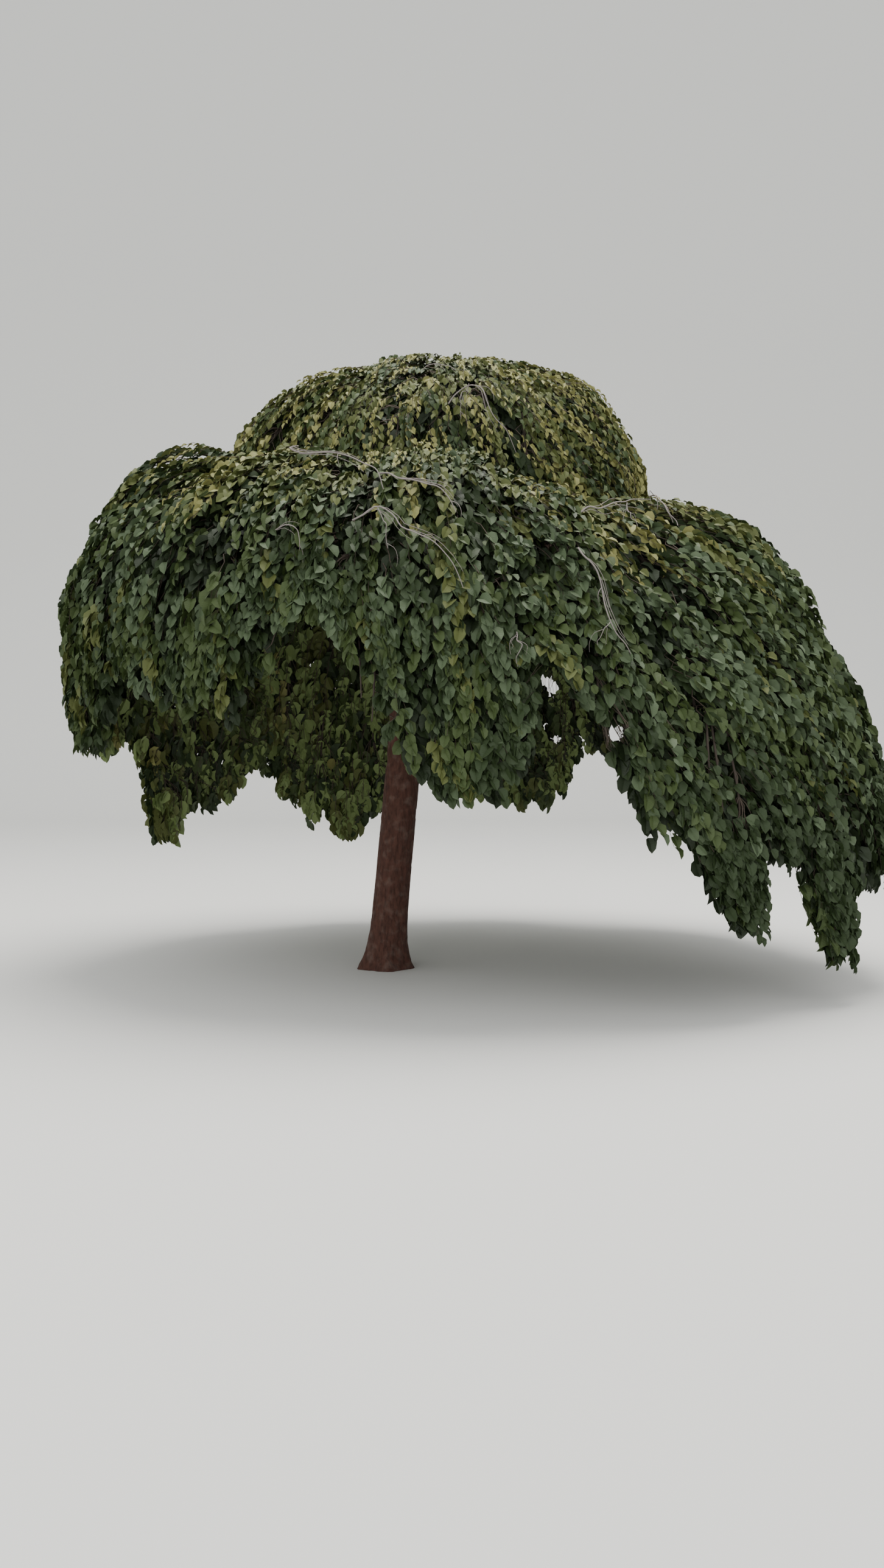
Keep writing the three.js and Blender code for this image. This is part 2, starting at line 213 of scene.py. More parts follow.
# Bare grey limbs that show through the leaves. Each has its thickest radius, and its azimuth, its
# station down the crown and how far it stands out of the leaf surface, from end to end.
BARE_LIMBS = (
    (0.0095, ((228, 1.25, -0.03), (235.2, 1.561, 0.02), (238.1, 1.616, 0.04), (242.5, 1.588, 0.05),
        (250.5, 1.851, 0.05), (253.4, 1.891, 0.04), (255.3, 1.943, 0.04), (256.7, 1.98, -0.01))),
    (0.0085, ((255.6, 1.899, 0), (257.5, 1.886, 0.03), (259.1, 1.891, 0.05), (262, 1.865, 0.05),
        (264.5, 1.894, 0.05), (266.3, 1.929, 0.05), (267.6, 1.957, 0.03), (268.8, 2, -0.02))),
    (0.008, ((253.2, 2.29, -0.01), (255, 2.23, 0.03), (257.1, 2.115, 0.04), (259.5, 2.096, 0.04),
        (260.6, 2.132, 0.04), (262.8, 2.13, 0.04), (265.3, 2.151, 0.04), (267, 2.202, 0.04),
        (268.4, 2.254, 0.03), (269.5, 2.3, -0.02))),
    (0.0055, ((257.1, 2.123, 0.04), (257.9, 2.133, 0.03), (258.4, 2.17, 0.03), (258.7, 2.246, 0))),
    (0.0075, ((265.5, 0.8, -0.01), (267.9, 0.759, 0.03), (271.5, 0.731, 0.05), (274.8, 0.74, 0.05),
        (276.4, 0.79, 0.05), (278.9, 0.834, 0.05), (282.4, 0.86, 0.03), (286, 0.91, -0.02))),
    (0.005, ((271.5, 0.731, 0.05), (269.7, 0.769, 0.04), (268.8, 0.815, 0.03), (269.3, 0.86, -0.01))),
    (0.006, ((251.7, 0.49, 0), (257.1, 0.51, 0.03), (262.6, 0.558, 0.03), (267, 0.6, 0))),
    (0.0085, ((289.3, 1.822, -0.01), (291.6, 1.741, 0.03), (297, 1.567, 0.04), (302, 1.494, 0.04),
        (306.3, 1.446, 0.03), (314, 1.38, 0))),
    (0.008, ((320, 1.25, 0), (314.6, 1.405, 0.04), (311.9, 1.527, 0.05), (311, 1.605, 0.03),
        (310.9, 1.67, -0.01))),
    (0.0055, ((304.1, 1.482, 0.03), (301, 1.616, 0.03), (301.9, 1.68, -0.01))),
    (0.009, ((286.8, 2.14, -0.02), (287, 2.19, 0.04), (288, 2.197, 0.05), (288.8, 2.222, 0.05),
        (289.2, 2.273, 0.05), (289.1, 2.351, 0.05), (289.4, 2.41, 0.05), (290.2, 2.447, 0.05),
        (291.6, 2.427, 0.04), (293.2, 2.39, -0.01))),
    (0.0045, ((289.3, 2.433, 0.05), (288.3, 2.51, 0.05), (287.8, 2.565, 0.04), (287.5, 2.603, 0.01))),
    (0.006, ((276.7, 2.427, -0.01), (276.7, 2.463, 0.04), (276.7, 2.502, 0.04), (276.7, 2.55, -0.01))),
    (0.006, ((242.1, 2.437, -0.01), (244, 2.458, 0.03), (245.3, 2.492, 0.04), (245.9, 2.55, 0.03),
        (245.9, 2.61, -0.01))),
    (0.0085, ((66, 1.2, -0.02), (58, 1.42, 0.02), (50, 1.6, 0.03), (45, 1.85, 0.02), (42, 2.05, -0.02))),
    (0.0085, ((150, 1.15, -0.02), (144, 1.42, 0.02), (139, 1.66, 0.03), (137, 1.95, 0.02),
        (133, 2.1, -0.02))),
    (0.007, ((12, 1.3, -0.02), (5, 1.5, 0.02), (-2, 1.62, 0.02), (-6, 1.84, 0.02), (-7, 2.02, -0.02))),
    (0.007, ((186, 1.18, -0.02), (181, 1.36, 0.02), (178, 1.58, 0.02), (172, 1.76, 0.02),
        (170, 1.9, -0.02))),
    (0.0065, ((96, 0.55, -0.01), (88, 0.7, 0.04), (84, 0.82, 0.04), (83, 0.95, -0.01))),
)

# How thick and proud the bare limbs are against those rows, the width that leaves clear beside them,
# how many times and how far they bend out of line, and their taper
BARE_GIRTH = 0.56
BARE_PROUD = 0.75
BARE_WIDTH = 0.013
BARE_BENDS, BARE_BEND = 7, 0.0065
BARE_TAPER = 0.45

# Twigs and thinner limbs that leave a bare limb: how much radius it has for each of them, their girth
# against its own, and their taper
TWIG_FOR_EACH, TWIG_GIRTH, TWIG_TAPER = 0.006, 0.5, 0.4
COMPANION_FOR_EACH, COMPANION_GIRTH, COMPANION_TAPER = 0.003, 0.42, 0.5

# Lines through the crown, along which the sky shows between the leaves, and how wide they are
SKY_LINES = (
    ((0.90, -2.35, 1.810), (1.25, 2.55, 1.995), 0.075),
    ((0.96, -2.35, 1.740), (1.31, 2.55, 1.925), 0.070),
    ((0.93, -2.35, 1.500), (1.35, 2.55, 1.500), 0.060),
    ((1.21, -2.35, 1.530), (1.84, 2.55, 1.555), 0.085),
)

# How sprays hang: their roots lie deeper than the rest of them, their length is the settings' times a
# share in this range, and they are shorter on the dome. SWAY is how far they stray, SWAY_KEPT how much
# of it they keep at each step, and RISE how much of the way out of the crown they come at each.
SPRAY_ROOTS = (0.05, 0.09)
SPRAY_LENGTHS = (0.75, 1.15)
DOME_SPRAYS = 0.85
HEM_RAGGED = 0.055
LEAF_BELOW_TWIG = 0.065
SHORTEST_SPRAY = 0.10
SWAY, SWAY_KEPT = 0.016, 0.6
RISE = 0.7

# Stations where the patches of leaves on the top tuft, the dome and the curtains start and end
TOP_CROSSING = 0.15
TOP_END = TOP_TUFT_REACH + TOP_CROSSING + 0.04
DOME_START = TOP_TUFT_REACH - 0.05
CURTAIN_END = 2.97

# Steps across and up a square that spread any number of places evenly over it
EVEN_STEPS = (0.7548776662, 0.5698402910)

# How leaves sit and vary: FACE is how much a leaf faces outwards, up and to its own side of the spray,
# LEAF_STAND the least and the most that its tip stands out, LEAF_HANG how much more it hangs than its
# spray, SMALLER_TIPS how much smaller leaves are at a spray's tip, and INNER_LEAVES how much larger the
# hidden ones are on the dome and on the curtains
FACE = (0.9, 0.38, 0.42)
STALK = 0.006
LEAF_HANG = 0.22
SPREAD_VARIES = 10
SIZE_VARIES = 0.08
TWIST = 0.16
LEAF_ASTRAY = 0.11
LEAF_ROLL = 0.50
LEAF_SIZES = 0.09
SPRAY_SIZES = 0.10
MOST_DEVIATION = 1.6
SMALLER_TIPS = 0.25
LEAF_STAND = (0.10, 0.85)
LEAF_SPREAD = 22
YOUNG_SPREAD = 15
YOUNG_LEAF = 0.54
YOUNG_BREADTH = 0.66
INNER_LEAVES = (1.45, 1.25)

# A leaf's outline, as places up its length and half widths there in shares of its width, the plainer
# outline of the small leaves on the dome, and how a leaf folds and bends
LEAF_RIM = ((0.15, 0.34), (0.50, 0.50), (0.83, 0.34))
SMALL_LEAF_RIM = ((0.24, 0.42), (0.68, 0.46))
LEAF_FOLD = 0.60
LEAF_ARCH = 0.07
LEAF_DROOP = 0.26
LEAF_UNEVEN = 0.06

# The outer sprays gather in rows with gaps between them: how many rows go round the crown, how long
# one is, how far apart the points are that its fullness is worked out from, and how much deeper sprays
# hang in the gaps and on the rows
ROWS_ROUND = 120
ROW_LENGTH = 0.34
ROW_SAMPLES = 7
ROW_CELL = 0.110
ROW_CELLS = 64
ROW_DEPTHS = (0.075, 0.005)
DOME_LENGTH = 1.60

# How many metres above the CAD model's hem the leaves end, at some azimuths
HEM_RAISED = ((180, 0), (246, 0), (252, 0.08), (257, 0.22), (259, 0.24), (263, 0.09), (267, 0), (0, 0))

# How many degrees the sprays lean round the crown from straight down it, at some azimuths
LEAN = ((180, 0), (235, 0), (262, 12), (282, 30), (312, 40), (340, 26), (5, 8), (60, 0), (120, 0))

# Leaf greens, in the order that chances are summed in
TINTS = ("deep", "mid", "blue", "young", "olive", "under", "shade")


class Layer(NamedTuple):
    """A layer of sprays: how close they stand on the curtains and on the dome, and how deep inside
    the leaf surface they hang."""

    share: float
    dome_share: float
    shallow: float
    deep: float


OUTER, MIDDLE, INNER, YOUNG = range(4)
LAYERS = {
    OUTER: Layer(1.90, 2.90, 0.000, 0.030),
    MIDDLE: Layer(0.74, 0.86, 0.100, 0.180),
    INNER: Layer(0.46, 0.22, 0.180, 0.280),
    YOUNG: Layer(0.24, 0.40, 0.000, 0.020),
}


class Finish(NamedTuple):
    """Strength of a material's relief, its depth in metres, its specular level, and how fine the grain
    of bark is."""

    strength: float
    depth: float
    specular: float
    scale: float = 1.0


TRUNK_FINISH = Finish(0.7, 0.004, 0.25, 1.9)
BOUGH_FINISH = Finish(0.7, 0.003, 0.25, 1.6)
YOUNG_BARK_FINISH = Finish(0.5, 0.001, 0.30, 4.0)
LEAF_FINISH = Finish(0.6, 0.0012, 0.34)

# Round soft lights: where each hangs, how wide it is, its watts and its tone, and where all aim
LAMPS = (
    ("key", (4.0, -9.0, 9.0), 7.0, 130, (1.0, 0.98, 0.95)),
    ("low fill", (-3.0, -12.0, 1.2), 6.0, 300, (1.0, 0.99, 0.97)),
    ("top", (1.5, 0.5, 12.0), 9.0, 1900, (1.0, 0.97, 0.92)),
)
LAMPS_AIM = (0.5, 0, 2.0)
SKY_COLOUR = (0.95, 0.96, 0.95, 1)
SKY_STRENGTH = 1.31

# The floor: half its width, its near edge, where it starts to bend up, the bend's radius and its top
FLOOR_HALF, FLOOR_NEAR, FLOOR_FAR, FLOOR_BEND, BACKDROP_TOP = 60.0, -40.0, 16.0, 6.0, 40.0


def azimuth_at(section, share=0.5):
    """The azimuth at a share of the way across a lobe, cap or bunch."""
    return section.start + (section.end - section.start) * share


def round_crown(pairs):
    """A smooth function of azimuth that repeats every turn, through (degrees, value) pairs."""
    knots = sorted((d % 360, v) for d, v in pairs)
    degrees, values = np.array([knots[-1], *knots, knots[0]], float).T
    degrees[0] -= 360
    degrees[-1] += 360

    def value(at):
        turned = np.mod(at, 360)
        i = np.clip(np.searchsorted(degrees[1:-1], turned) + 1, 1, len(degrees) - 1)
        share = (turned - degrees[i - 1]) / (degrees[i] - degrees[i - 1])
        return values[i - 1] + (values[i] - values[i - 1]) * (1 - np.cos(np.pi * share)) / 2

    return value


def hem_knots():
    """Each lobe's hem, with the notch before it."""
    knots = []
    for before, lobe in zip((LOBES[-1], *LOBES), LOBES):
        knots.append((lobe.start - lobe.slopes[0], before.hem))
        knots.append((lobe.start, lobe.notch))
        knots.append((lobe.start + lobe.slopes[1], lobe.hem))
    return knots


RIM_RADIUS, RIM_HEIGHT, REACH, REACH_HEIGHT, SQUARENESS = (
    round_crown([(azimuth_at(lobe), getattr(lobe, field)) for lobe in LOBES])
    for field in ("rim_radius", "rim_height", "reach", "reach_height", "squareness")
)
HEM = round_crown(hem_knots())
LEAN_ROUND = round_crown(LEAN)
RAISED_ROUND = round_crown(HEM_RAISED)


def lean_of(degrees):
    """How far round the crown sprays go for each metre down it."""
    return np.tan(np.radians(LEAN_ROUND(degrees)))


def pad_thickness(station):
    return np.interp(station, (0, 1, 2, 3), PAD_THICKNESS)


def curtain(degrees):
    """Where the crown turns straight down, and the lengths of its bend and of all below the rim."""
    rim_z, bottom = RIM_HEIGHT(degrees), HEM(degrees)
    turn = np.maximum(REACH_HEIGHT(degrees), bottom)
    out = REACH(degrees) - RIM_RADIUS(degrees)
    arc = np.pi / math.sqrt(8) * np.hypot(out, rim_z - turn)
    return turn, arc, arc + turn - bottom


def share_down(station):
    """How far a station lies between the rim and the hem, from 0 to 1."""
    lower = SHOULDER_SHARE + (1 - SHOULDER_SHARE) * (station - 2)
    return np.clip(np.where(station < 2, (station - 1) * SHOULDER_SHARE, lower), 0, 1)


def as_arrays(degrees, station):
    return np.broadcast_arrays(np.asarray(degrees, float), np.asarray(station, float))


def profile(degrees, station):
    """Radius and height of the crown. Stations run down it: 0 at the top, 1 at the dome's rim,
    2 at the foot of the shoulder, 3 at the hem, and past 3 one for each metre below the hem."""
    degrees, station = as_arrays(degrees, station)
    rim, rim_z = RIM_RADIUS(degrees), RIM_HEIGHT(degrees)
    share = np.sin(np.clip(station, 0, 1) * np.pi / 2)
    dome_z = rim_z + (CROWN_TOP - rim_z) * np.sqrt(np.maximum(0, 1 - share**CAP_POWER))
    turn, arc, length = curtain(degrees)
    along = share_down(station) * length
    angle = np.minimum(along / arc, 1) * np.pi / 2
    r = rim + (REACH(degrees) - rim) * np.sin(angle)
    z = turn + (rim_z - turn) * np.maximum(np.cos(angle), 0) ** SQUARENESS(degrees)
    z = np.where(along > arc, turn - (along - arc), z)
    below = np.maximum(0, station - 3)
    return np.where(station < 1, rim * share, r), np.where(station < 1, dome_z, z) - below


def slope(degrees, station):
    """The profile's direction down the crown, averaged over a short stretch."""
    s = np.clip(station, 0, 3)
    r0, z0 = profile(degrees, np.maximum(0, s - SLOPE_STRETCH))
    r1, z1 = profile(degrees, np.minimum(3, s + SLOPE_STRETCH))
    size = np.hypot(r1 - r0, z1 - z0)
    return (r1 - r0) / size, (z1 - z0) / size


def hump(share):
    return np.maximum(0, 4 * share * (1 - share)) ** SWELL_ROUNDNESS


def swelling(degrees, station):
    """How far a lobe or cap stands out of the profile."""
    degrees, station = as_arrays(degrees, station)
    in_dome = station <= 1
    down_dome = hump(np.clip((station - TOP_TUFT_REACH) / (1 - TOP_TUFT_REACH), 0, 1))
    upper = np.sin(np.pi * np.clip(station - 1, 0, 0.5))
    lower = 1 + (SWELL_HEM_SHARE - 1) * np.clip((station - 2.5) * 2, 0, 1)
    made = np.zeros(degrees.shape)
    for sections, here, down in ((CAPS, in_dome, down_dome), (LOBES, ~in_dome, upper * lower)):
        for section in sections:
            across = np.mod(degrees - section.start, 360) / (section.end - section.start)
            made = np.where(here & (across <= 1), section.swell * hump(across) * down, made)
    return made


def uneven(degrees, station):
    a, s = np.radians(degrees), np.minimum(station, 3)
    broad = np.sin(5 * a + s * 3.1) * np.cos(3 * a - s * 2.3)
    small = np.sin(7 * a + s * 9.7) * np.cos(4 * a - s * 7.9)
    return UNEVEN * (broad + 0.55 * small) * np.minimum(1, s / TOP_TUFT_REACH)


def axes(degrees, station):
    """Unit vectors at a place on the crown: outwards, down it, and round it."""
    dr, dz = slope(degrees, station)
    a = np.radians(np.broadcast_to(degrees, dr.shape))
    cos, sin = np.cos(a), np.sin(a)
    outwards = np.stack([-dz * cos, -dz * sin, dr], -1)
    down = np.stack([dr * cos, dr * sin, dz], -1)
    around = np.stack([-sin, cos, np.zeros_like(a)], -1)
    return outwards, down, around


def crown_point(degrees, station, proud):
    """A point that lies proud metres outside the crown's profile."""
    r, z = profile(degrees, station)
    dr, dz = slope(degrees, station)
    r, z, a = r - dz * proud, z + dr * proud, np.radians(degrees)
    return np.stack([CROWN_AXIS_X + r * np.cos(a), r * np.sin(a), z], -1)


def leaf_surface(degrees, station, depth=0.0):
    """A point that lies depth metres inside the outer surface of the leaves."""
    return crown_point(degrees, station, swelling(degrees, station) + uneven(degrees, station) - depth)


def metres_per_station(degrees, station):
    first, last = np.maximum(station - 0.02, 0), station + 0.02
    apart = crown_point(degrees, last, 0) - crown_point(degrees, first, 0)
    return np.linalg.norm(apart, axis=-1) / (last - first)


def unit(vectors):
    return vectors / np.maximum(np.linalg.norm(vectors, axis=-1, keepdims=True), 1e-9)


def smooth_path(points, count):
    """count points along a Catmull-Rom curve through the given points."""
    points = np.asarray(points, float)
    padded = np.vstack([2 * points[0] - points[1], points, 2 * points[-1] - points[-2]])
    at = np.linspace(0, len(points) - 1, count)
    i = np.minimum(at.astype(int), len(points) - 2)
    t = (at - i)[:, None]
    p0, p1, p2, p3 = (padded[i + n] for n in range(4))
    bend = (2 * p0 - 5 * p1 + 4 * p2 - p3) * t**2 + (3 * p1 - p0 - 3 * p2 + p3) * t**3
    return 0.5 * (2 * p1 + (p2 - p0) * t + bend)


def trunk_axis(height):
    return np.stack([TRUNK_LEAN * height, 0 * height, height], -1)


def bough_path(azimuth, size, count):
    """A bough's curve, out of the graft and into the leaves."""
    graft = trunk_axis(GRAFT_HEIGHT + BOUGH_ABOVE_GRAFT)
    end = crown_point(azimuth, size.entry, BOUGH_END_DEPTH - pad_thickness(size.entry))
    begin = graft + unit((end - graft) * (1, 1, 0)) * size.start
    control = (begin + end) / 2 + (0, 0, size.arch)
    t = np.linspace(0, 1, count)[:, None]
    return (1 - t) ** 2 * begin + 2 * t * (1 - t) * control + t**2 * end


def bough_end(azimuth, size):
    """A point just inside a bough's end, for limbs to grow on from."""
    return bough_path(azimuth, size, 12)[-2]


def lattice_noise(lattice, x, y):
    """Smooth noise from 0 to 1 on a lattice of random numbers, which repeats along x."""
    xi, yi = np.floor(x).astype(int), np.floor(y).astype(int)
    fx, fy = x - xi, y - yi
    fx, fy = fx * fx * (3 - 2 * fx), fy * fy * (3 - 2 * fy)
    columns, rows = lattice.shape
    yi = np.clip(yi, 0, rows - 2)
    left, right = xi % columns, (xi + 1) % columns
    a = lattice[left, yi] * (1 - fx) + lattice[right, yi] * fx
    b = lattice[left, yi + 1] * (1 - fx) + lattice[right, yi + 1] * fx
    return a * (1 - fy) + b * fy


def bark_relief(rng, angle, along, girth, depth):
    """Long flat ridges that part and meet again, with cracks between them."""
    cells = max(5, round(girth / BARK_RIDGE_WIDTH))
    rows = int(along.max() / BARK_RIDGE_LENGTH) + 4
    x, y = angle / (2 * np.pi) * cells, along / BARK_RIDGE_LENGTH
    bend = lattice_noise(rng.random((cells, rows)), x, y)
    ridges = 1 - np.abs(2 * lattice_noise(rng.random((cells, rows)), x + 0.8 * bend, y) - 1)
    fine = lattice_noise(rng.random((cells * 3, rows * 4)), x * 3, y * 3)
    return depth * (np.clip(ridges * 1.5, 0, 1) ** 1.4 - 0.7 + 0.22 * (fine - 0.5))


def rings_and_angles(along, sides):
    """How far along a tube each of its points lies, and its angle round it."""
    return np.meshgrid(along, np.linspace(0, 2 * np.pi, sides, endpoint=False), indexing="ij")


def tube(centres, across, upward, radii):
    """Vertices and faces of a closed tube. across and upward are the two directions that its rings lie
    in, and radii holds one row of radii for each centre."""
    rings, sides = radii.shape
    angle = np.linspace(0, 2 * np.pi, sides, endpoint=False)[:, None]
    ring = np.cos(angle) * across[:, None] + np.sin(angle) * upward[:, None]
    vertices = (centres[:, None] + ring * radii[..., None]).reshape(-1, 3)
    i, j = np.meshgrid(np.arange(rings - 1) * sides, np.arange(sides), indexing="ij")
    k = (j + 1) % sides
    faces = np.stack([i + j, i + k, i + sides + k, i + sides + j], -1).reshape(-1, 4).tolist()
    faces.append(list(range(sides))[::-1])
    faces.append(list(range((rings - 1) * sides, rings * sides)))
    return vertices, faces


def add_object(name, data, place=(0, 0, 0), turn=(0, 0, 0)):
    """A new object, linked to the scene."""
    made = bpy.data.objects.new(name, data)
    made.location, made.rotation_euler = place, turn
    bpy.context.scene.collection.objects.link(made)
    return made


def mesh_piece(name, vertices, faces, material):
    """A smooth-shaded object."""
    mesh = bpy.data.meshes.new(name)
    mesh.from_pydata(vertices.tolist(), [], faces)
    mesh.shade_smooth()
    mesh.materials.append(material)
    return add_object(name, mesh)


def settle(piece, slot, *nodes):
    """Hangs a finished piece on the root body and hides the CAD parts that it stands for. The slot that
    names what it is made of is not used.
    """
    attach(piece, "root")
    if nodes:
        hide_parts(*nodes)


class Graph:
    """A node tree, and short ways to add to it."""

    def __init__(self, tree):
        self.tree = tree

    def feed(self, socket, value):
        """Sets a socket to a value, or links it to the socket that feeds it."""
        if isinstance(value, bpy.types.NodeSocket):
            self.tree.links.new(value, socket)
        else:
            socket.default_value = value

    def add(self, kind, inputs=(), output=0, **settings):
        """Adds a node, fills its inputs by name or number, and gives one of its outputs."""
        node = self.tree.nodes.new(kind)
        for key, value in settings.items():
            setattr(node, key, value)
        for key, value in dict(inputs).items():
            self.feed(node.inputs[key], value)
        return node.outputs[output]

    def maths(self, operation, *values, clamp=False):
        return self.add("ShaderNodeMath", enumerate(values), operation=operation, use_clamp=clamp)

    def remap(self, value, *limits):
        """Stretches the range between the first two limits to the one between the last two."""
        return self.add("ShaderNodeMapRange", enumerate((value, *limits)))

    def mix(self, share, first, second):
        return self.add("ShaderNodeMix", {0: share, 6: first, 7: second}, 2, data_type="RGBA")

    def attribute(self, name, kind):
        return self.add("GeometryNodeInputNamedAttribute", {0: name}, data_type=kind)


def new_group(name, kind, inputs, outputs):
    """A node group with named sockets: a label, a kind and perhaps a default for each input."""
    tree = bpy.data.node_groups.new(name, kind)
    for label, socket, *default in inputs:
        made = tree.interface.new_socket(label, in_out="INPUT", socket_type=f"NodeSocket{socket}")
        if default:
            made.default_value = default[0]
    for label, socket in outputs:
        tree.interface.new_socket(label, in_out="OUTPUT", socket_type=f"NodeSocket{socket}")
    given, out = tree.nodes.new("NodeGroupInput"), tree.nodes.new("NodeGroupOutput")
    return Graph(tree), given.outputs, out.inputs


def run_nodes(name, group, points, edges, attributes, values):
    """Runs a geometry node group on loose points and edges, and keeps the mesh that it makes."""
    mesh = bpy.data.meshes.new(name)
    mesh.from_pydata(points.tolist(), edges, [])
    for label, data in attributes.items():
        vector = data.ndim == 2
        number = "INT" if data.dtype.kind == "i" else "FLOAT"
        made = mesh.attributes.new(label, "FLOAT_VECTOR" if vector else number, "POINT")
        made.data.foreach_set("vector" if vector else "value", np.ascontiguousarray(data).ravel())
    piece = add_object(name, mesh)
    modifier = piece.modifiers.new(name, "NODES")
    modifier.node_group = group
    for item in group.interface.items_tree:
        if item.in_out == "INPUT" and item.name in values:
            modifier[item.identifier] = values[item.name]
    piece.update_tag()
    graph = bpy.context.evaluated_depsgraph_get()
    graph.update()
    made = bpy.data.meshes.new_from_object(
        piece.evaluated_get(graph), preserve_all_data_layers=True, depsgraph=graph
    )
    piece.modifiers.clear()
    piece.data = made
    made.name = name
    bpy.data.meshes.remove(mesh)
    for label in attributes:
        if label in made.attributes:
            made.attributes.remove(made.attributes[label])
    if not made.polygons:
        raise RuntimeError(f"{name} came out empty")
    return piece


def colour(name, default, text):
    return FloatVectorProperty(
        name=name, description=text, subtype="COLOR", size=3, min=0, max=1, default=default
    )


def length(name, text, default):
    return FloatProperty(name=name, description=text, unit="LENGTH", min=0, default=default)


class ELM_PG_trunk(bpy.types.PropertyGroup):
    radius: length("Radius", "Radius of the trunk a metre above the ground", 0.116)
    fork_height: length("Fork height", "Height of the top of the graft", 2.050)
    flare_reach: length("Flare reach", "How far the foot spreads beyond the trunk", 0.070)
    flare_height: length("Flare height", "Height over which the foot spreads", 0.210)
    relief: length("Bark relief", "Depth of the cracks in the trunk's bark", 0.0085)
    limb_relief: length("Limb relief", "Depth of the cracks in the boughs' bark", 0.0028)
    ridge_colour: colour("Ridges", (0.080, 0.035, 0.025), "Colour of the bark's ridges")
    crack_colour: colour("Cracks", (0.036, 0.017, 0.013), "Colour of the bark's cracks")
    bough_colour: colour("Boughs", (0.115, 0.078, 0.062), "Colour of the boughs' ridges")


class ELM_PG_foliage(bpy.types.PropertyGroup):
    leaf_length: length("Leaf length", "Length of a full-grown leaf", 0.088)
    leaf_width: length("Leaf width", "Width of a full-grown leaf", 0.066)
    spray_length: length("Spray length", "Length of a hanging spray", 0.38)
    shoot_length: length("Shoot length", "Length of a young shoot", 0.34)
    spray_area: FloatProperty(
        name="Area of a spray", description="Leaf surface that each spray covers, in square metres",
        min=0.002, default=0.0112,
    )
    leaves: IntProperty(name="Leaves", description="Leaves on a spray", min=2, default=11)
    # The limb and twig colours are partly bark and partly painted shade: they were darkened because they
    # hang in shade inside the crown.
    limb_colour: colour("Limbs", (0.052, 0.041, 0.033), "Colour of the limbs in the crown")
    bare_colour: colour("Bare limbs", (0.205, 0.180, 0.172), "Colour of the grey limbs that show")
    twig_colour: colour("Twigs", (0.070, 0.054, 0.042), "Colour of the twigs")
    deep: colour("Deep green", (0.020, 0.036, 0.010), "Leaves that are darkest")
    mid: colour("Mid green", (0.040, 0.062, 0.016), "Most leaves")
    # Blue green is painted sheen, not a bloom: the bluish grey that sky light lends the leaves' upper
    # faces, given to whole sprays as a bluer green.
    blue: colour("Blue green", (0.057, 0.084, 0.040), "Leaves with a blue bloom")
    young: colour("Young green", (0.190, 0.190, 0.062), "Young leaves at the crests")
    # On the dome and the crests, olive green is partly paler leaves and partly painted light from above.
    # Low at the back, it is the leaves' own paler tone.
    olive: colour("Olive green", (0.078, 0.093, 0.024), "Paler leaves high up, and low at the back")
    # Underside green is partly the leaves' paler undersides and partly painted light: it was made paler to
    # brighten the inside of the crown, where little light reaches.
    under: colour("Underside green", (0.155, 0.210, 0.070), "Leaves that show their pale undersides")
    # Shade green is painted shade: near-black leaves put deep between the sprays so that the gaps read
    # dark, as shade makes them.
    shade: colour("Shade green", (0.011, 0.020, 0.006), "Old leaves deep between the sprays")


class ELM_PG_stage(bpy.types.PropertyGroup):
    lens: FloatProperty(name="Lens", description="Focal length on a 36 mm sensor", min=1, default=31.18)
    distance: length("Distance", "From the camera to the trunk", 8.92)
    eye_height: length("Eye height", "Height of the camera", 1.5)
    aside: length("Aside", "How far the camera stands to the right of the trunk", 0.376)
    pitch: FloatProperty(
        name="Pitch", description="How far the camera looks down",
        subtype="ANGLE", default=math.radians(1.87),
    )
    floor_colour: colour("Floor", (0.72, 0.72, 0.70), "Colour of the floor and backdrop")


def bark_group():
    """Colour, roughness and height of bark: cracks run along the limb, with lichen-pale flecks."""
    graph, given, out = new_group(
        "Bark Grain",
        "ShaderNodeTree",
        (
            ("Ridge Colour", "Color", (0.1, 0.05, 0.04, 1)),
            ("Crack Colour", "Color", (0.02, 0.01, 0.01, 1)),
            ("Scale", "Float", 1.0),
        ),
        (("Colour", "Color"), ("Roughness", "Float"), ("Height", "Float")),
    )
    place = graph.add("ShaderNodeTexCoord", output="Object")
    stretched = graph.add("ShaderNodeMapping", {0: place, "Scale": (1.0, 1.0, 0.28)})
    fine, broad = (graph.maths("MULTIPLY", given["Scale"], scale) for scale in (34.0, 9.0))
    plates = graph.add(
        "ShaderNodeTexNoise",
        {"Vector": stretched, "Scale": fine, "Detail": 6.0, "Roughness": 0.62, "Distortion": 0.5},
    )
    flecks = graph.add("ShaderNodeTexNoise", {"Vector": place, "Scale": broad, "Detail": 4.0})
    base = graph.mix(graph.remap(plates, 0.32, 0.60), given["Crack Colour"], given["Ridge Colour"])
    pale = graph.remap(flecks, 0.5, 0.75, 0.0, 0.35)
    graph.feed(out["Colour"], graph.mix(pale, base, (0.17, 0.13, 0.11, 1)))
    graph.feed(out["Roughness"], graph.remap(plates, 0.0, 1.0, 0.98, 0.78))
    graph.feed(out["Height"], plates)
    return graph.tree


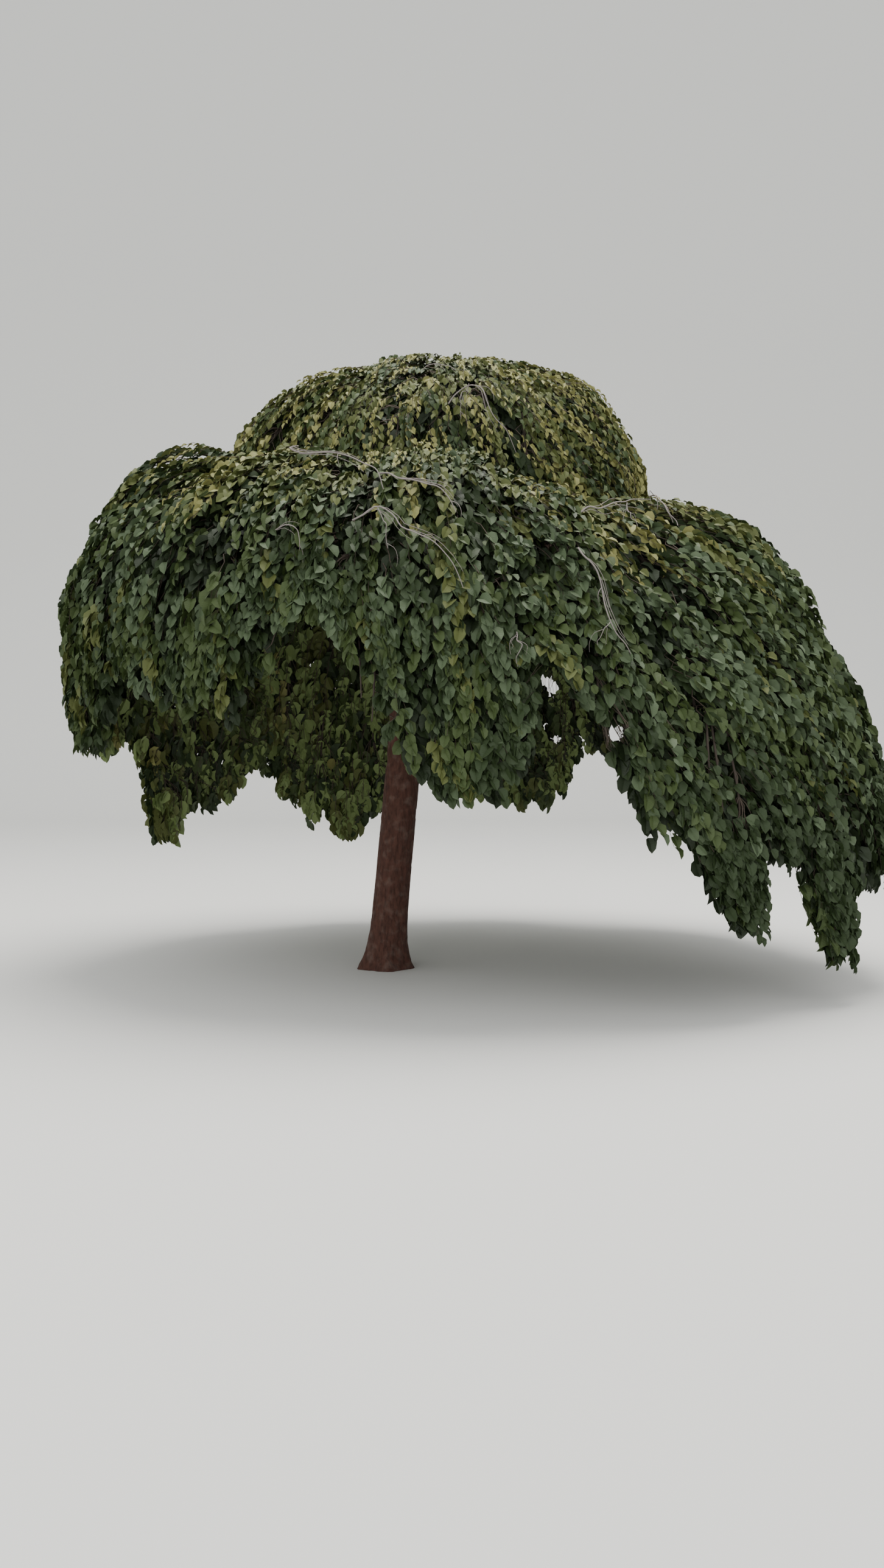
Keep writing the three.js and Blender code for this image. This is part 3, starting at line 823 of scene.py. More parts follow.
def leaf_group():
    """Roughness and height of a leaf: a sunk midrib and side veins, quilted between them."""
    graph, given, out = new_group(
        "Leaf Veins",
        "ShaderNodeTree",
        (("Veins", "Float", 9.0), ("Gloss", "Float", 0.54), ("Dull", "Float", 0.72)),
        (("Roughness", "Float"), ("Height", "Float")),
    )
    across = graph.add("ShaderNodeSeparateXYZ", {0: graph.add("ShaderNodeUVMap", uv_map="leaf")})
    aside = graph.maths("ABSOLUTE", graph.maths("SUBTRACT", across, 0.5))
    along = graph.maths("SUBTRACT", across.node.outputs[1], graph.maths("MULTIPLY", aside, 0.55))
    wave = graph.maths("PINGPONG", graph.maths("MULTIPLY", along, given["Veins"]), 0.5)
    quilt = graph.maths("SMOOTH_MIN", graph.maths("MULTIPLY", wave, 2.0), 0.6, 0.3)
    midrib = graph.maths("MULTIPLY", aside, 14.0, clamp=True)
    place = graph.add("ShaderNodeTexCoord", output="Object")
    mottle = graph.add("ShaderNodeTexNoise", {"Vector": place, "Scale": 24.0, "Detail": 2.0})
    graph.feed(out["Height"], graph.maths("MULTIPLY", quilt, midrib))
    graph.feed(out["Roughness"], graph.remap(mottle, 0.3, 0.7, given["Gloss"], given["Dull"]))
    return graph.tree


def new_material(name, group, values, finish, base=None):
    """A material whose roughness and relief come from a shared group. Its colour is the plain base,
    or comes from the group as well."""
    label, build = group
    material = bpy.data.materials.new(name)
    material.use_nodes = True
    graph = Graph(material.node_tree)
    tree = bpy.data.node_groups.get(label) or build()
    height = graph.add("ShaderNodeGroup", values, "Height", node_tree=tree)
    relief = {"Height": height, "Strength": finish.strength, "Distance": finish.depth}
    shader = material.node_tree.nodes["Principled BSDF"].inputs
    graph.feed(shader["Base Color"], (*base, 1) if base else height.node.outputs["Colour"])
    graph.feed(shader["Roughness"], height.node.outputs["Roughness"])
    graph.feed(shader["Normal"], graph.add("ShaderNodeBump", relief))
    shader["Specular IOR Level"].default_value = finish.specular
    return material


BARK = ("Bark Grain", bark_group)
LEAF = ("Leaf Veins", leaf_group)


def cracked_bark(name, ridge, crack, finish):
    """Bark whose colour follows its cracks."""
    values = {"Ridge Colour": (*ridge, 1), "Crack Colour": (*crack, 1), "Scale": finish.scale}
    return new_material(name, BARK, values, finish)


def young_bark(name, base):
    """Smooth young bark of one colour, with a fine grain."""
    finish = YOUNG_BARK_FINISH
    return new_material(name, BARK, {"Scale": finish.scale}, finish, base)


def trunk_mesh(sizes):
    """The trunk with its relief, closed at the cut and at the top of the graft."""
    rng = np.random.default_rng(SEED)
    height = np.linspace(0, 1, TRUNK_RINGS) ** 1.1 * sizes.fork_height
    z, a = rings_and_angles(height, TRUNK_SIDES)
    foot = np.exp(-z / (sizes.flare_height * FLARE_FALL))
    ridges = FLARE_RIDGE_DEPTH * foot * np.cos(FLARE_RIDGES * a + FLARE_TURN)
    graft = GRAFT_SWELLING * np.exp(-(((z - GRAFT_HEIGHT) / GRAFT_SPREAD) ** 2))
    from_top = np.minimum(1, (sizes.fork_height - z) / GRAFT_DOME)
    rounding = np.sqrt(1 - 0.9 * (1 - from_top) ** 2)
    taper = sizes.radius * (1 - TRUNK_TAPER * z / sizes.fork_height)
    relief = bark_relief(rng, a, z, 2 * np.pi * sizes.radius, sizes.relief) - sizes.relief * 0.2
    radii = (taper + sizes.flare_reach * foot + ridges + graft) * rounding + relief
    return tube(trunk_axis(height), np.eye(3)[:1], np.eye(3)[1:2], radii)


def bough_mesh(path, size, relief, rng):
    """One bough with bark relief, thickest where it leaves the graft."""
    along = np.append(0, np.cumsum(np.linalg.norm(np.diff(path, axis=0), axis=1)))
    tangent = unit(np.gradient(path, axis=0))
    upward = np.cross(unit(np.cross(tangent, (0.0, 0.0, 1.0)) + (1e-6, 0, 0)), tangent)
    s, a = rings_and_angles(along, BOUGH_SIDES)
    collar = 1 + BOUGH_COLLAR * np.exp(-s / BOUGH_COLLAR_LENGTH)
    knots = 1 + BOUGH_KNOTS * np.sin(s * 23 + a) * np.cos(s * 9 - a)
    radii = (size.base + (size.tip - size.base) * s / along[-1]) * collar * knots
    radii = radii + bark_relief(rng, a, s, 2 * np.pi * size.base, relief)
    return tube(path, np.cross(tangent, upward), upward, radii)


def join(parts):
    """One list of vertices and faces from several."""
    faces, count = [], 0
    for vertices, part in parts:
        faces.extend([i + count for i in face] for face in part)
        count += len(vertices)
    return np.vstack([vertices for vertices, _ in parts]), faces


class Growth(NamedTuple):
    """Branches as rows of points with a radius at each."""

    points: np.ndarray
    radii: np.ndarray


def alike(rows, radii):
    """A growth of branches that all have the same radii."""
    return Growth(np.array(rows), np.tile(radii, (len(rows), 1)))


def limb_radii(thick, thin, power=0.8):
    return np.linspace(1, 0, LIMB_POINTS) ** power * thick + thin


def hung_limb(origin, lift, degrees, stations, depths, wander, rng):
    """A limb that leaves origin, arches over and hangs inside the leaves, down these stations."""
    turned = degrees + np.cumsum(rng.uniform(-wander, wander, len(stations)))
    hung = leaf_surface(turned, np.array(stations), np.array(depths))
    return smooth_path([origin, (origin + hung[0]) / 2 + (0, 0, lift), *hung], LIMB_POINTS)


def lobe_limbs(lobe, rng):
    """Limbs that fan out of a bough's end, arch over under the leaves and hang to the hem."""
    origin = bough_end(azimuth_at(lobe), BOUGH)
    count = max(4, round((lobe.end - lobe.start) / LIMB_SPACING))
    made = []
    for k in range(count):
        degrees = azimuth_at(lobe, (k + 0.5) / count) + rng.uniform(-1.5, 1.5)
        crest = rng.uniform(1.16, 1.42)
        stations = (crest, crest + 0.35, *LOBE_LIMB_STATIONS)
        made.append(hung_limb(origin, 0.07, degrees, stations, LOBE_LIMB_DEPTHS, 1.6, rng))
    return alike(made, limb_radii(*LOBE_LIMB))


def dome_limbs(rng):
    """Limbs that fan out of the leaders' ends over the upper dome, and some that cross its top."""
    made = []
    for azimuth in LEADERS.values():
        origin = bough_end(azimuth, LEADER)
        for offset in np.arange(-52.5, 60, 15):
            degrees = azimuth + offset + rng.uniform(-2, 2)
            crest = rng.uniform(0.30, 0.52)
            stations = (crest, crest + 0.17, *DOME_LIMB_STATIONS)
            made.append(hung_limb(origin, 0.05, degrees, stations, DOME_LIMB_DEPTHS, 2, rng))
        for offset, station in ((-35, 0.10), (15, 0.06), (40, 0.20)):
            hung = [leaf_surface(azimuth + offset * n, station * n, 0.12) for n in (2.2, 1)]
            made.append(smooth_path([origin, (origin + hung[0]) / 2, *hung], LIMB_POINTS))
    return alike(made, limb_radii(*DOME_LIMB))


def tip_point(tip, aside, down, through):
    """A point in a bunch below the hem: aside of its middle, from -0.5 to 0.5, and down it and
    through it, each from 0 to 1. The bunch narrows towards its bottom."""
    across = np.interp(down, (0, 1), tip.middle) + aside * np.interp(down, (0, 1), TIP_WIDTHS)
    degrees = azimuth_at(tip, across)
    thickness = pad_thickness(3)
    outer = swelling(degrees, 3.0) + uneven(degrees, 3.0)
    start = crown_point(degrees, 3.0, outer + (-thickness - outer) * through)
    centre = crown_point(degrees, 3.0, -thickness / 2)
    thinned = (TIP_THINNING * down)[..., None]
    point = start * (1 - thinned) + centre * thinned
    point[..., 2] = start[..., 2] + (tip.bottom - start[..., 2]) * down
    return point


def tip_limbs(tip, rng):
    """Limbs that run down out of the curtain and through a bunch."""
    made = []
    for aside in (-0.25, 0.0, 0.25):
        degrees = azimuth_at(tip, tip.middle[0] + aside * TIP_WIDTHS[0])
        upper = [leaf_surface(degrees + rng.uniform(-1, 1), s, TIP_LIMB_DEPTH) for s in (2.45, 2.8)]
        lower = tip_point(tip, aside, np.array((0.15, 0.5, 0.8)), 0.5)
        made.append(smooth_path([*upper, *lower], LIMB_POINTS))
    return alike(made, limb_radii(*TIP_LIMB, 1))


def sideways(rng, along, place):
    """A direction to the left or right of a limb on the crown."""
    return unit(np.cross(along, place - CROWN_HEART)) * rng.choice((-1, 1))


def side_twig(rng, path, at):
    """A short twig that leaves a limb and hangs."""
    along = unit(path[at + 1] - path[at - 1])
    side = sideways(rng, along, path[at])
    long = rng.uniform(0.09, 0.20)
    first = path[at] + long * 0.35 * unit(along + 0.9 * side)
    second = first + long * 0.35 * unit(along + 0.3 * side + (0, 0, -0.8))
    third = second + long * 0.30 * unit(0.3 * along - 0.2 * side + (0, 0, -1.0))
    return smooth_path([path[at], first, second, third], SPUR_POINTS)


def companion(rng, path):
    """A thinner limb that leaves another at a narrow angle and runs on beside it."""
    start = rng.integers(0, LIMB_POINTS // 2)
    at = np.linspace(start, start + 0.45 * LIMB_POINTS, SPUR_POINTS).astype(int)
    side = sideways(rng, unit(path[at[-1]] - path[at[0]]), path[start])
    share = np.linspace(0, 1, SPUR_POINTS)[:, None]
    apart = rng.uniform(0.025, 0.060) * share**0.8
    return path[at] + side * apart + unit(CROWN_HEART - path[start]) * 0.03 * share**3


def bare_limbs():
    """The grey limbs that show on the outside of the leaves, and the twigs that leave them."""
    rng = np.random.default_rng(SEED + 3)
    made, thick, spurs, spur_thick = [], [], [], []
    for radius, controls in BARE_LIMBS:
        path = smooth_path([leaf_surface(d, s, -BARE_PROUD * out) for d, s, out in controls], LIMB_POINTS)
        bends = rng.normal(0, BARE_BEND, (BARE_BENDS, 3))
        bends[0] = 0
        path = path + smooth_path(bends, LIMB_POINTS)
        made.append(path)
        girth = BARE_GIRTH * radius
        thick.append(girth * np.linspace(1, BARE_TAPER, LIMB_POINTS))
        for at in rng.integers(3, LIMB_POINTS - 2, round(radius / TWIG_FOR_EACH)):
            spurs.append(side_twig(rng, path, at))
            spur_thick.append(girth * TWIG_GIRTH * np.linspace(1, TWIG_TAPER, SPUR_POINTS))
        for _ in range(round(radius / COMPANION_FOR_EACH)):
            spurs.append(companion(rng, path))
            spur_thick.append(girth * COMPANION_GIRTH * np.linspace(1, COMPANION_TAPER, SPUR_POINTS))
    return Growth(np.array(made), np.array(thick)), Growth(np.array(spurs), np.array(spur_thick))


def point_finder(points):
    """A tree that finds the nearest of these points."""
    tree = kdtree.KDTree(len(points))
    for n, point in enumerate(points):
        tree.insert(point, n)
    tree.balance()
    return tree


NEAREST_BARE_LIMB = point_finder(bare_limbs()[0].points.reshape(-1, 3))


def all_limbs():
    """Every limb, by the lobe or bunch that it grows in."""
    rng = np.random.default_rng(SEED + 1)
    made = {"dome": dome_limbs(rng)}
    for lobe in LOBES:
        made[lobe.name] = lobe_limbs(lobe, rng)
        if lobe.tip:
            made[f"tip_{lobe.tip}"] = tip_limbs(TIPS[lobe.tip], rng)
    return made


class Patch(NamedTuple):
    """A patch of leaves: its azimuths, its first and last station, the CAD nodes that it stands for,
    and the name of the bunch that hangs from it."""

    name: str
    start: float
    end: float
    first: float
    last: float
    nodes: tuple
    tip: str = ""

    @property
    def in_dome(self):
        return self.last <= 1


def all_patches():
    made = [Patch("top", 0, 360, 0.0, TOP_END, ("foliage_top",))]
    for cap in CAPS:
        name = f"dome_{cap.name}"
        made.append(Patch(name, cap.start, cap.end, DOME_START, 1.0, (f"foliage_{name}",)))
    for lobe in LOBES:
        nodes = [f"foliage_shoulder_{lobe.name}", f"foliage_curtain_{lobe.name}"]
        nodes += [f"foliage_tip_{lobe.tip}"] if lobe.tip else []
        made.append(Patch(lobe.name, lobe.start, lobe.end, 1.0, CURTAIN_END, nodes, lobe.tip))
    return made


def even_places(patch, area, rng):
    """Azimuths and stations spread evenly over a patch, one to each area of its surface."""
    degrees = np.linspace(patch.start, patch.end, max(8, int((patch.end - patch.start) / 2)))
    stations = np.linspace(patch.first, patch.last, 60)
    d, s = np.meshgrid(degrees, stations, indexing="ij")
    p = crown_point(d, s, 0)
    around, down = np.diff(p, axis=0)[:, :-1], np.diff(p, axis=1)[:-1]
    cell = np.linalg.norm(np.cross(around, down), axis=-1)
    count = int(cell.sum() / area)
    n = np.arange(count) + rng.random()
    u, v = np.mod(np.outer(EVEN_STEPS, n), 1)
    by_degrees = np.append(0, np.cumsum(cell.sum(1)))
    at = np.interp(u * by_degrees[-1], by_degrees, degrees)
    column = np.clip(np.searchsorted(degrees, at) - 1, 0, len(cell) - 1)
    by_stations = np.pad(np.cumsum(cell, 1), ((0, 0), (1, 0)))[column]
    return at, np.array([np.interp(share * row[-1], row, stations) for share, row in zip(v, by_stations)])


class Sprays(NamedTuple):
    """Hanging sprays: their points, outward, downward and sideways directions at each, where they
    hang, and the layer that they belong to."""

    points: np.ndarray
    outwards: np.ndarray
    down: np.ndarray
    around: np.ndarray
    station: np.ndarray
    degrees: np.ndarray
    layer: np.ndarray


def stack_sprays(rows, station, degrees, layer):
    """Sprays from a row of points and directions for each step down them."""
    return Sprays(*(np.stack(part, 1) for part in zip(*rows)), station, degrees, layer)


def hang_sprays(degrees, station, depth, long, layer, rng):
    """Sprays that come out from inside the leaves and hang down the crown, as far as the hem. One
    that starts at a station below 0 first crosses the top of the crown."""
    lean = lean_of(degrees)
    ends = degrees + np.degrees(long * lean / np.maximum(profile(degrees, station)[0], 0.6))
    room = (1 - share_down(station)) * np.minimum(curtain(degrees)[2], curtain(ends)[2])
    ragged = rng.normal(0, HEM_RAGGED, len(degrees)) - LEAF_BELOW_TWIG - RAISED_ROUND(degrees)
    long = np.minimum(long, room + ragged)
    kept = long > SHORTEST_SPRAY
    degrees, station, depth, long, lean = (field[kept] for field in (degrees, station, depth, long, lean))
    count = len(degrees)
    stride = long / (SPRAY_POINTS - 1)
    at, s = degrees, station
    inside = depth + rng.uniform(*SPRAY_ROOTS, count)
    turn = rng.normal(0, 1.0, count)
    rows = []
    for _ in range(SPRAY_POINTS):
        over, there = np.where(s < 0, at + 180, at), np.abs(s)
        outward, downward, sideward = axes(over, there)
        ahead = np.where(s < 0, -1.0, 1.0)[:, None]
        rows.append((leaf_surface(over, there, inside), outward, downward * ahead, sideward * ahead))
        s = s + stride / np.maximum(metres_per_station(over, there), 0.05)
        radius = np.maximum(profile(at, np.abs(s))[0], 0.25)
        turn = SWAY_KEPT * turn + rng.normal(0, 1.0, count)
        at = at + np.degrees((turn * SWAY + stride * lean) / radius)
        inside = inside + (depth - inside) * RISE
    return stack_sprays(rows, station, degrees, np.full(count, layer))


def tip_sprays(tip, rng):
    """Sprays that hang in a bunch below the hem."""
    middle = azimuth_at(tip)
    drop = float(HEM(middle)) - tip.bottom
    count = max(24, round(TIP_SPRAYS * drop))
    aside, through = rng.random(count) - 0.5, rng.random(count) ** 1.4
    raised = TIP_SHORTER_SIDES * (2 * np.abs(aside)) ** 1.5 + TIP_RAGGED * rng.random(count) ** 2
    lowest = 1 - (TIP_SPRAY_LENGTH + LEAF_BELOW_TWIG + raised) / drop
    down = -0.25 + (lowest + 0.25) * ((np.arange(count) + rng.random(count)) / count)
    degrees, station = np.full(count, middle), np.full(count, 3.2)
    rows = []
    for share in np.linspace(0, 1, SPRAY_POINTS):
        at = down + share * TIP_SPRAY_LENGTH / drop
        inwards = np.clip(through + 0.25 * (1 - share), 0, 1)
        point = tip_point(tip, aside, np.clip(at, 0, 1.02), inwards)
        point[..., 2] -= np.minimum(at, 0) * drop
        rows.append((point, *axes(degrees, np.full(count, 3.0))))
        aside = np.clip(aside + rng.normal(0, 0.05, count), -0.5, 0.5)
    return stack_sprays(rows, station, degrees, np.where(through > 0.6, INNER, OUTER))


def away_from_sky_line(points, start, end):
    """The shortest way to each point from one of the lines that the sky shows along."""
    along = unit(np.array(end) - start)
    apart = points - start
    return apart - (apart @ along)[..., None] * along


def clear_of_sky(points):
    """True where a point stands clear of every line that the sky shows along."""
    clear = np.ones(points.shape[:-1], bool)
    for start, end, radius in SKY_LINES:
        clear &= np.linalg.norm(away_from_sky_line(points, start, end), axis=-1) > radius
    return clear


def part_round_sky(points):
    """Moves the points that stand in the way of the sky aside."""
    for start, end, radius in SKY_LINES:
        away = away_from_sky_line(points, start, end)
        short = radius - np.linalg.norm(away, axis=-1, keepdims=True)
        points = points + unit(away) * np.maximum(short, 0)
    return points


def clear_of_bare_limbs(points):
    """True where a leaf leaves the bare limbs uncovered."""
    apart = np.array([NEAREST_BARE_LIMB.find(p)[2] for p in points.reshape(-1, 3)])
    return apart.reshape(points.shape[:-1]) > BARE_WIDTH


def fullness(degrees, station):
    """From about -2 in the gaps between rows of sprays to 2 on the rows, which run as sprays hang."""
    cells = np.random.default_rng(SEED + 5).random((ROWS_ROUND, ROW_CELLS))
    in_curtain = share_down(station) * curtain(degrees)[2]
    down = np.minimum(station, 1) * DOME_LENGTH + np.maximum(in_curtain, 0)
    round_crown_per_metre = lean_of(degrees) / (2 * np.pi * np.maximum(profile(degrees, station)[0], 0.3))
    total = np.zeros(len(degrees))
    for step in np.linspace(-0.5, 0.5, ROW_SAMPLES) * ROW_LENGTH:
        round_it = degrees / 360 + step * round_crown_per_metre
        total += lattice_noise(cells, round_it * ROWS_ROUND, (down + step) / ROW_CELL + 4)
    return (total - total.mean()) / total.std()


def young_share(degrees, station):
    """Young shoots stand in patches, on the dome and along the crests of the shoulders."""
    a = np.radians(degrees)
    patchy = 0.5 + 0.5 * np.sin(7 * a + 4 * station) * np.cos(4 * a - 6 * station)
    down = np.interp(station, (0, 1.0, 1.4, 1.8, 2.1), (1.0, 1.0, 0.55, 0.12, 0.0))
    front_right = 0.55 + 0.65 * np.cos(np.radians(degrees - 300))
    return down * np.maximum(front_right, 0.25) * (0.25 + 1.3 * patchy**2)


def outer_share(degrees, full, in_dome):
    """How many of the outer sprays are kept: few between the rows, but more on the far side."""
    far_side = np.abs(np.mod(degrees, 360) - 120) < 75
    return np.clip(0.52 + (0.24 if in_dome else 0.42) * full, np.where(far_side, 0.48, 0.06), 1)


def patch_sprays(patch, sizes, rng):
    """An outer layer of sprays, two thinner ones inside it, young shoots, and the bunch's sprays."""
    parts = []
    for number, layer in LAYERS.items():
        area = sizes.spray_area / (layer.dome_share if patch.in_dome else layer.share)
        at, s = even_places(patch, area, rng)
        s = s - (0 if patch.first else TOP_CROSSING)
        at = at + rng.normal(0, 0.8, len(at))
        depth = np.minimum(rng.uniform(layer.shallow, layer.deep, len(at)), pad_thickness(s) * 0.8)
        kept = np.full(len(at), True)
        if number == YOUNG:
            kept = rng.random(len(at)) < young_share(at, np.abs(s))
        if number == OUTER:
            full = fullness(at, np.abs(s))
            kept = rng.random(len(at)) < outer_share(at, full, patch.in_dome)
            depth = depth + np.interp(full, (-1, 1.2), ROW_DEPTHS)
        at, s, depth = at[kept], s[kept], depth[kept]
        long = sizes.shoot_length if number == YOUNG else sizes.spray_length
        long = long * (DOME_SPRAYS if patch.in_dome else 1) * rng.uniform(*SPRAY_LENGTHS, len(at))
        parts.append(hang_sprays(at, s, depth, long, number, rng))
    if patch.tip:
        parts.append(tip_sprays(TIPS[patch.tip], rng))
    return Sprays(*(np.concatenate(field) for field in zip(*parts)))


def leaf_scale(station):
    """Leaves are smaller on the dome than on the curtains."""
    return np.interp(station, (0, 0.7, 1.0, 1.6, 2.4, 3.2), (0.60, 0.64, 0.73, 0.86, 0.93, 0.95))


def tints_of(sprays, rng):
    """Deals a leaf green to each spray by where it hangs. Each deal is for the sprays that it names,
    in place of the deals before it."""
    azimuth, station = np.mod(sprays.degrees, 360), sprays.station
    from_front = np.mod(sprays.degrees + 90, 360)
    chance = np.empty((len(station), len(TINTS)))

    def deal(here, **shares):
        chance[here] = [shares.get(tint, 0) for tint in TINTS]

    crest = station < 1.35 + 0.50 * np.maximum(0, np.cos(np.radians(sprays.degrees - 250))) ** 0.5
    dome = station < 1.05
    hem = station + rng.uniform(-0.3, 0.3, len(station)) > 2.5
    low_back = (station > 2.0) & (azimuth > 60) & (azimuth < 200)
    between, inside = sprays.layer == MIDDLE, sprays.layer == INNER
    deal(slice(None), deep=0.24, mid=0.43, blue=0.24, olive=0.09)
    # On the front right more sprays take the blue green, a painted sheen of sky light on the leaves there.
    deal(np.abs(azimuth - 305) < 35, deep=0.10, mid=0.45, blue=0.38, olive=0.07)
    # On the crests and the dome the olive and young greens are partly young, paler leaves and partly
    # painted light: a painted highlight along the crests, and a dome painted lighter on top and lightest on
    # its right.
    deal(crest, deep=0.12, mid=0.30, blue=0.06, young=0.08, olive=0.44)
    deal(dome, deep=0.08, mid=0.26, blue=0.06, young=0.14, olive=0.46)
    deal(dome & (from_front < 110), deep=0.05, mid=0.19, blue=0.05, young=0.22, olive=0.49)
    # Low down on the front right, right and back right nearly every spray takes the darkest green: painted
    # shade under the crown's hem.
    deal(hem & (from_front < 150), deep=0.88, mid=0.05, blue=0.07)
    deal(low_back, deep=0.20, mid=0.42, blue=0.08, olive=0.30)
    # The middle layer is mostly painted shade: shade green and the darkest green darken the gaps between
    # the rows. There is less of it on the crests, and low at the back where the inside is seen.
    deal(between, deep=0.30, shade=0.70)
    deal(between & low_back, deep=0.30, mid=0.30, olive=0.15, shade=0.25)
    deal(between & crest, deep=0.40, mid=0.30, olive=0.05, shade=0.25)
    # Inner sprays mostly take the underside green: pale undersides, with painted light that brightens the
    # inside of the crown.
    deal(inside, deep=0.16, mid=0.14, olive=0.10, under=0.60)
    deal(inside & low_back, deep=0.08, mid=0.12, young=0.03, olive=0.10, under=0.67)
    # Inner sprays on the near side take painted shade, so that no pale green shows through the gaps from
    # outside.
    deal(inside & (np.abs(azimuth - 105) >= 75), deep=0.45, mid=0.25, shade=0.30)
    deal(sprays.layer == YOUNG, young=1)
    pick = rng.random(len(station))[:, None] * chance.sum(1, keepdims=True)
    return np.minimum((pick > np.cumsum(chance, 1)).sum(1), len(TINTS) - 1)


def twig_growth(sprays, limbs, rng):
    """A twig for each spray, out of the nearest limb above it."""
    sources = np.concatenate([g.points.reshape(-1, 3) for g in limbs])
    sizes = np.concatenate([g.radii.ravel() for g in limbs])
    tree = point_finder(sources)
    made, thick = [], []
    for n, start in enumerate(sprays.points[:, 0]):
        near = tree.find_n(start + sprays.down[n, 0] * -0.10, TWIG_CHOICES)
        best = min(near, key=lambda hit: hit[2] + 1.5 * max(0.0, start[2] - hit[0][2]))
        root = sources[best[1]]
        bow = min(np.linalg.norm(start - root), 0.2)
        away = root + (start - root) * 0.5 + sprays.outwards[n, 0] * 0.12 * bow + (0, 0, 0.06 * bow)
        made.append(np.vstack([root, away, sprays.points[n]]))
        thick.append(np.linspace(min(TWIG_BASE, sizes[best[1]] * 0.75), TWIG_TIP, SPRAY_POINTS + 2))
    points = np.array(made)
    points[:, 2:-1] += rng.normal(0, TWIG_CROOKED, points[:, 2:-1].shape)
    return Growth(part_round_sky(points), np.array(thick))


def euler_of(side, along, face):
    """Euler angles that turn a leaf's own X, Y and Z to these directions."""
    pitch = np.arcsin(np.clip(-side[..., 2], -1, 1))
    roll = np.arctan2(along[..., 2], face[..., 2])
    yaw = np.arctan2(side[..., 1], side[..., 0])
    return np.stack([roll, pitch, yaw], -1)


def leaf_sizes(sprays, at, rng):
    """Sizes of the leaves, which lie at these shares along their sprays."""
    by_leaf, by_spray = (
        np.clip(rng.normal(0, 1, shape), -MOST_DEVIATION, MOST_DEVIATION)
        for shape in (at.shape, (len(at), 1))
    )
    smaller = SMALLER_TIPS * np.clip(at, 0, 1) ** 3
    vary = np.exp(LEAF_SIZES * by_leaf + SPRAY_SIZES * by_spray) * (1 - smaller)
    inner = np.isin(sprays.layer, (MIDDLE, INNER))
    by_place = np.where(inner, np.interp(sprays.station, (0.8, 1.5), INNER_LEAVES), 1.0)
    by_place = by_place * np.where(sprays.layer == YOUNG, YOUNG_LEAF, leaf_scale(sprays.station))
    return vary * by_place[:, None]


def put_leaves(sprays, per_spray, rng):
    """Leaves left and right along each spray, tips down, shingled over the ones below: the points that
    they hang from, and their turn as Euler angles, size, breadth for their size, and tint."""
    count = len(sprays.degrees)
    shape = (count, per_spray)
    at = np.linspace(0.10, 1.0, per_spray)[None] + rng.uniform(-0.03, 0.03, shape)
    place = np.clip(at, 0, 1) * (SPRAY_POINTS - 1)
    low = np.minimum(place.astype(int), SPRAY_POINTS - 2)
    share = (place - low)[..., None]
    rows = np.arange(count)[:, None]

    def along_spray(field):
        return field[rows, low] * (1 - share) + field[rows, low + 1] * share

    base = along_spray(sprays.points)
    outwards, down, around = (unit(along_spray(f)) for f in (sprays.outwards, sprays.down, sprays.around))
    side_sign = np.where((np.arange(per_spray) + rng.integers(0, 2, (count, 1))) % 2, 1.0, -1.0)
    side_sign[:, -1] = rng.uniform(-0.3, 0.3, count)
    young = (sprays.layer == YOUNG)[:, None]
    spread = np.radians(np.where(young, YOUNG_SPREAD, LEAF_SPREAD) + rng.normal(0, SPREAD_VARIES, shape))
    hang = unit(down + around * lean_of(sprays.degrees)[:, None, None] - (0, 0, LEAF_HANG))
    axis = hang * np.cos(spread)[..., None] + around * (side_sign * np.sin(spread))[..., None]
    flat = np.where(young, 0.5, np.interp(sprays.station, (0.9, 1.5), (0.5, 1.0))[:, None])
    stand = rng.uniform(*LEAF_STAND, shape) * flat
    axis = unit(axis + outwards * stand[..., None])
    axis = unit(axis + rng.normal(0, LEAF_ASTRAY, axis.shape))
    face = outwards * FACE[0] + (0, 0, FACE[1]) + around * (side_sign * FACE[2])[..., None]
    face = unit(face - (face * axis).sum(-1, keepdims=True) * axis)
    roll = rng.normal(0, LEAF_ROLL, shape)[..., None]
    face = face * np.cos(roll) + np.cross(axis, face) * np.sin(roll)
    turn = euler_of(np.cross(axis, face), axis, face)
    made = {"turn": turn, "size": leaf_sizes(sprays, at, rng)}
    made["breadth"] = np.tile(np.where(young, YOUNG_BREADTH, 1.0), (1, per_spray))
    made["tint"] = np.tile(tints_of(sprays, rng)[:, None], (1, per_spray))
    points = base + axis * STALK
    clear = clear_of_sky(points + axis * 0.05) & clear_of_bare_limbs(points + axis * 0.04)
    return points[clear], {name: field[clear] for name, field in made.items()}


def leaf_object(width, long, half_rim):
    """The broad leaf that the sprays repeat, kept out of the scene: base at the origin, tip along
    +Y, upper face along +Z, folded and drooping."""
    left = [(-half * (1 + LEAF_UNEVEN), t) for t, half in half_rim]
    right = [(half * (1 - LEAF_UNEVEN), t) for t, half in half_rim]
    outline = [(0.0, 0.0), *left, (0.0, 1.0), *reversed(right)]
    places = [*outline, (0.0, 0.5)]
    vertices = []
    for x, t in places:
        bend = LEAF_ARCH * 4 * t * (1 - t) - LEAF_DROOP * t**2
        vertices.append((x * width, t * long, bend * long + LEAF_FOLD * abs(x) * (1 - 0.3 * t) * width))
    count = len(outline)
    mesh = bpy.data.meshes.new("leaf")
    mesh.from_pydata(vertices, [], [(count, (n + 1) % count, n) for n in range(count)])
    layer = mesh.uv_layers.new(name="leaf")
    for loop in mesh.loops:
        x, t = places[loop.vertex_index]
        layer.data[loop.index].uv = (0.5 + x, t)
    mesh.shade_smooth()
    for edge in mesh.edges:
        edge.use_edge_sharp = all(places[v][0] == 0 for v in edge.vertices)
    return bpy.data.objects.new("leaf", mesh)


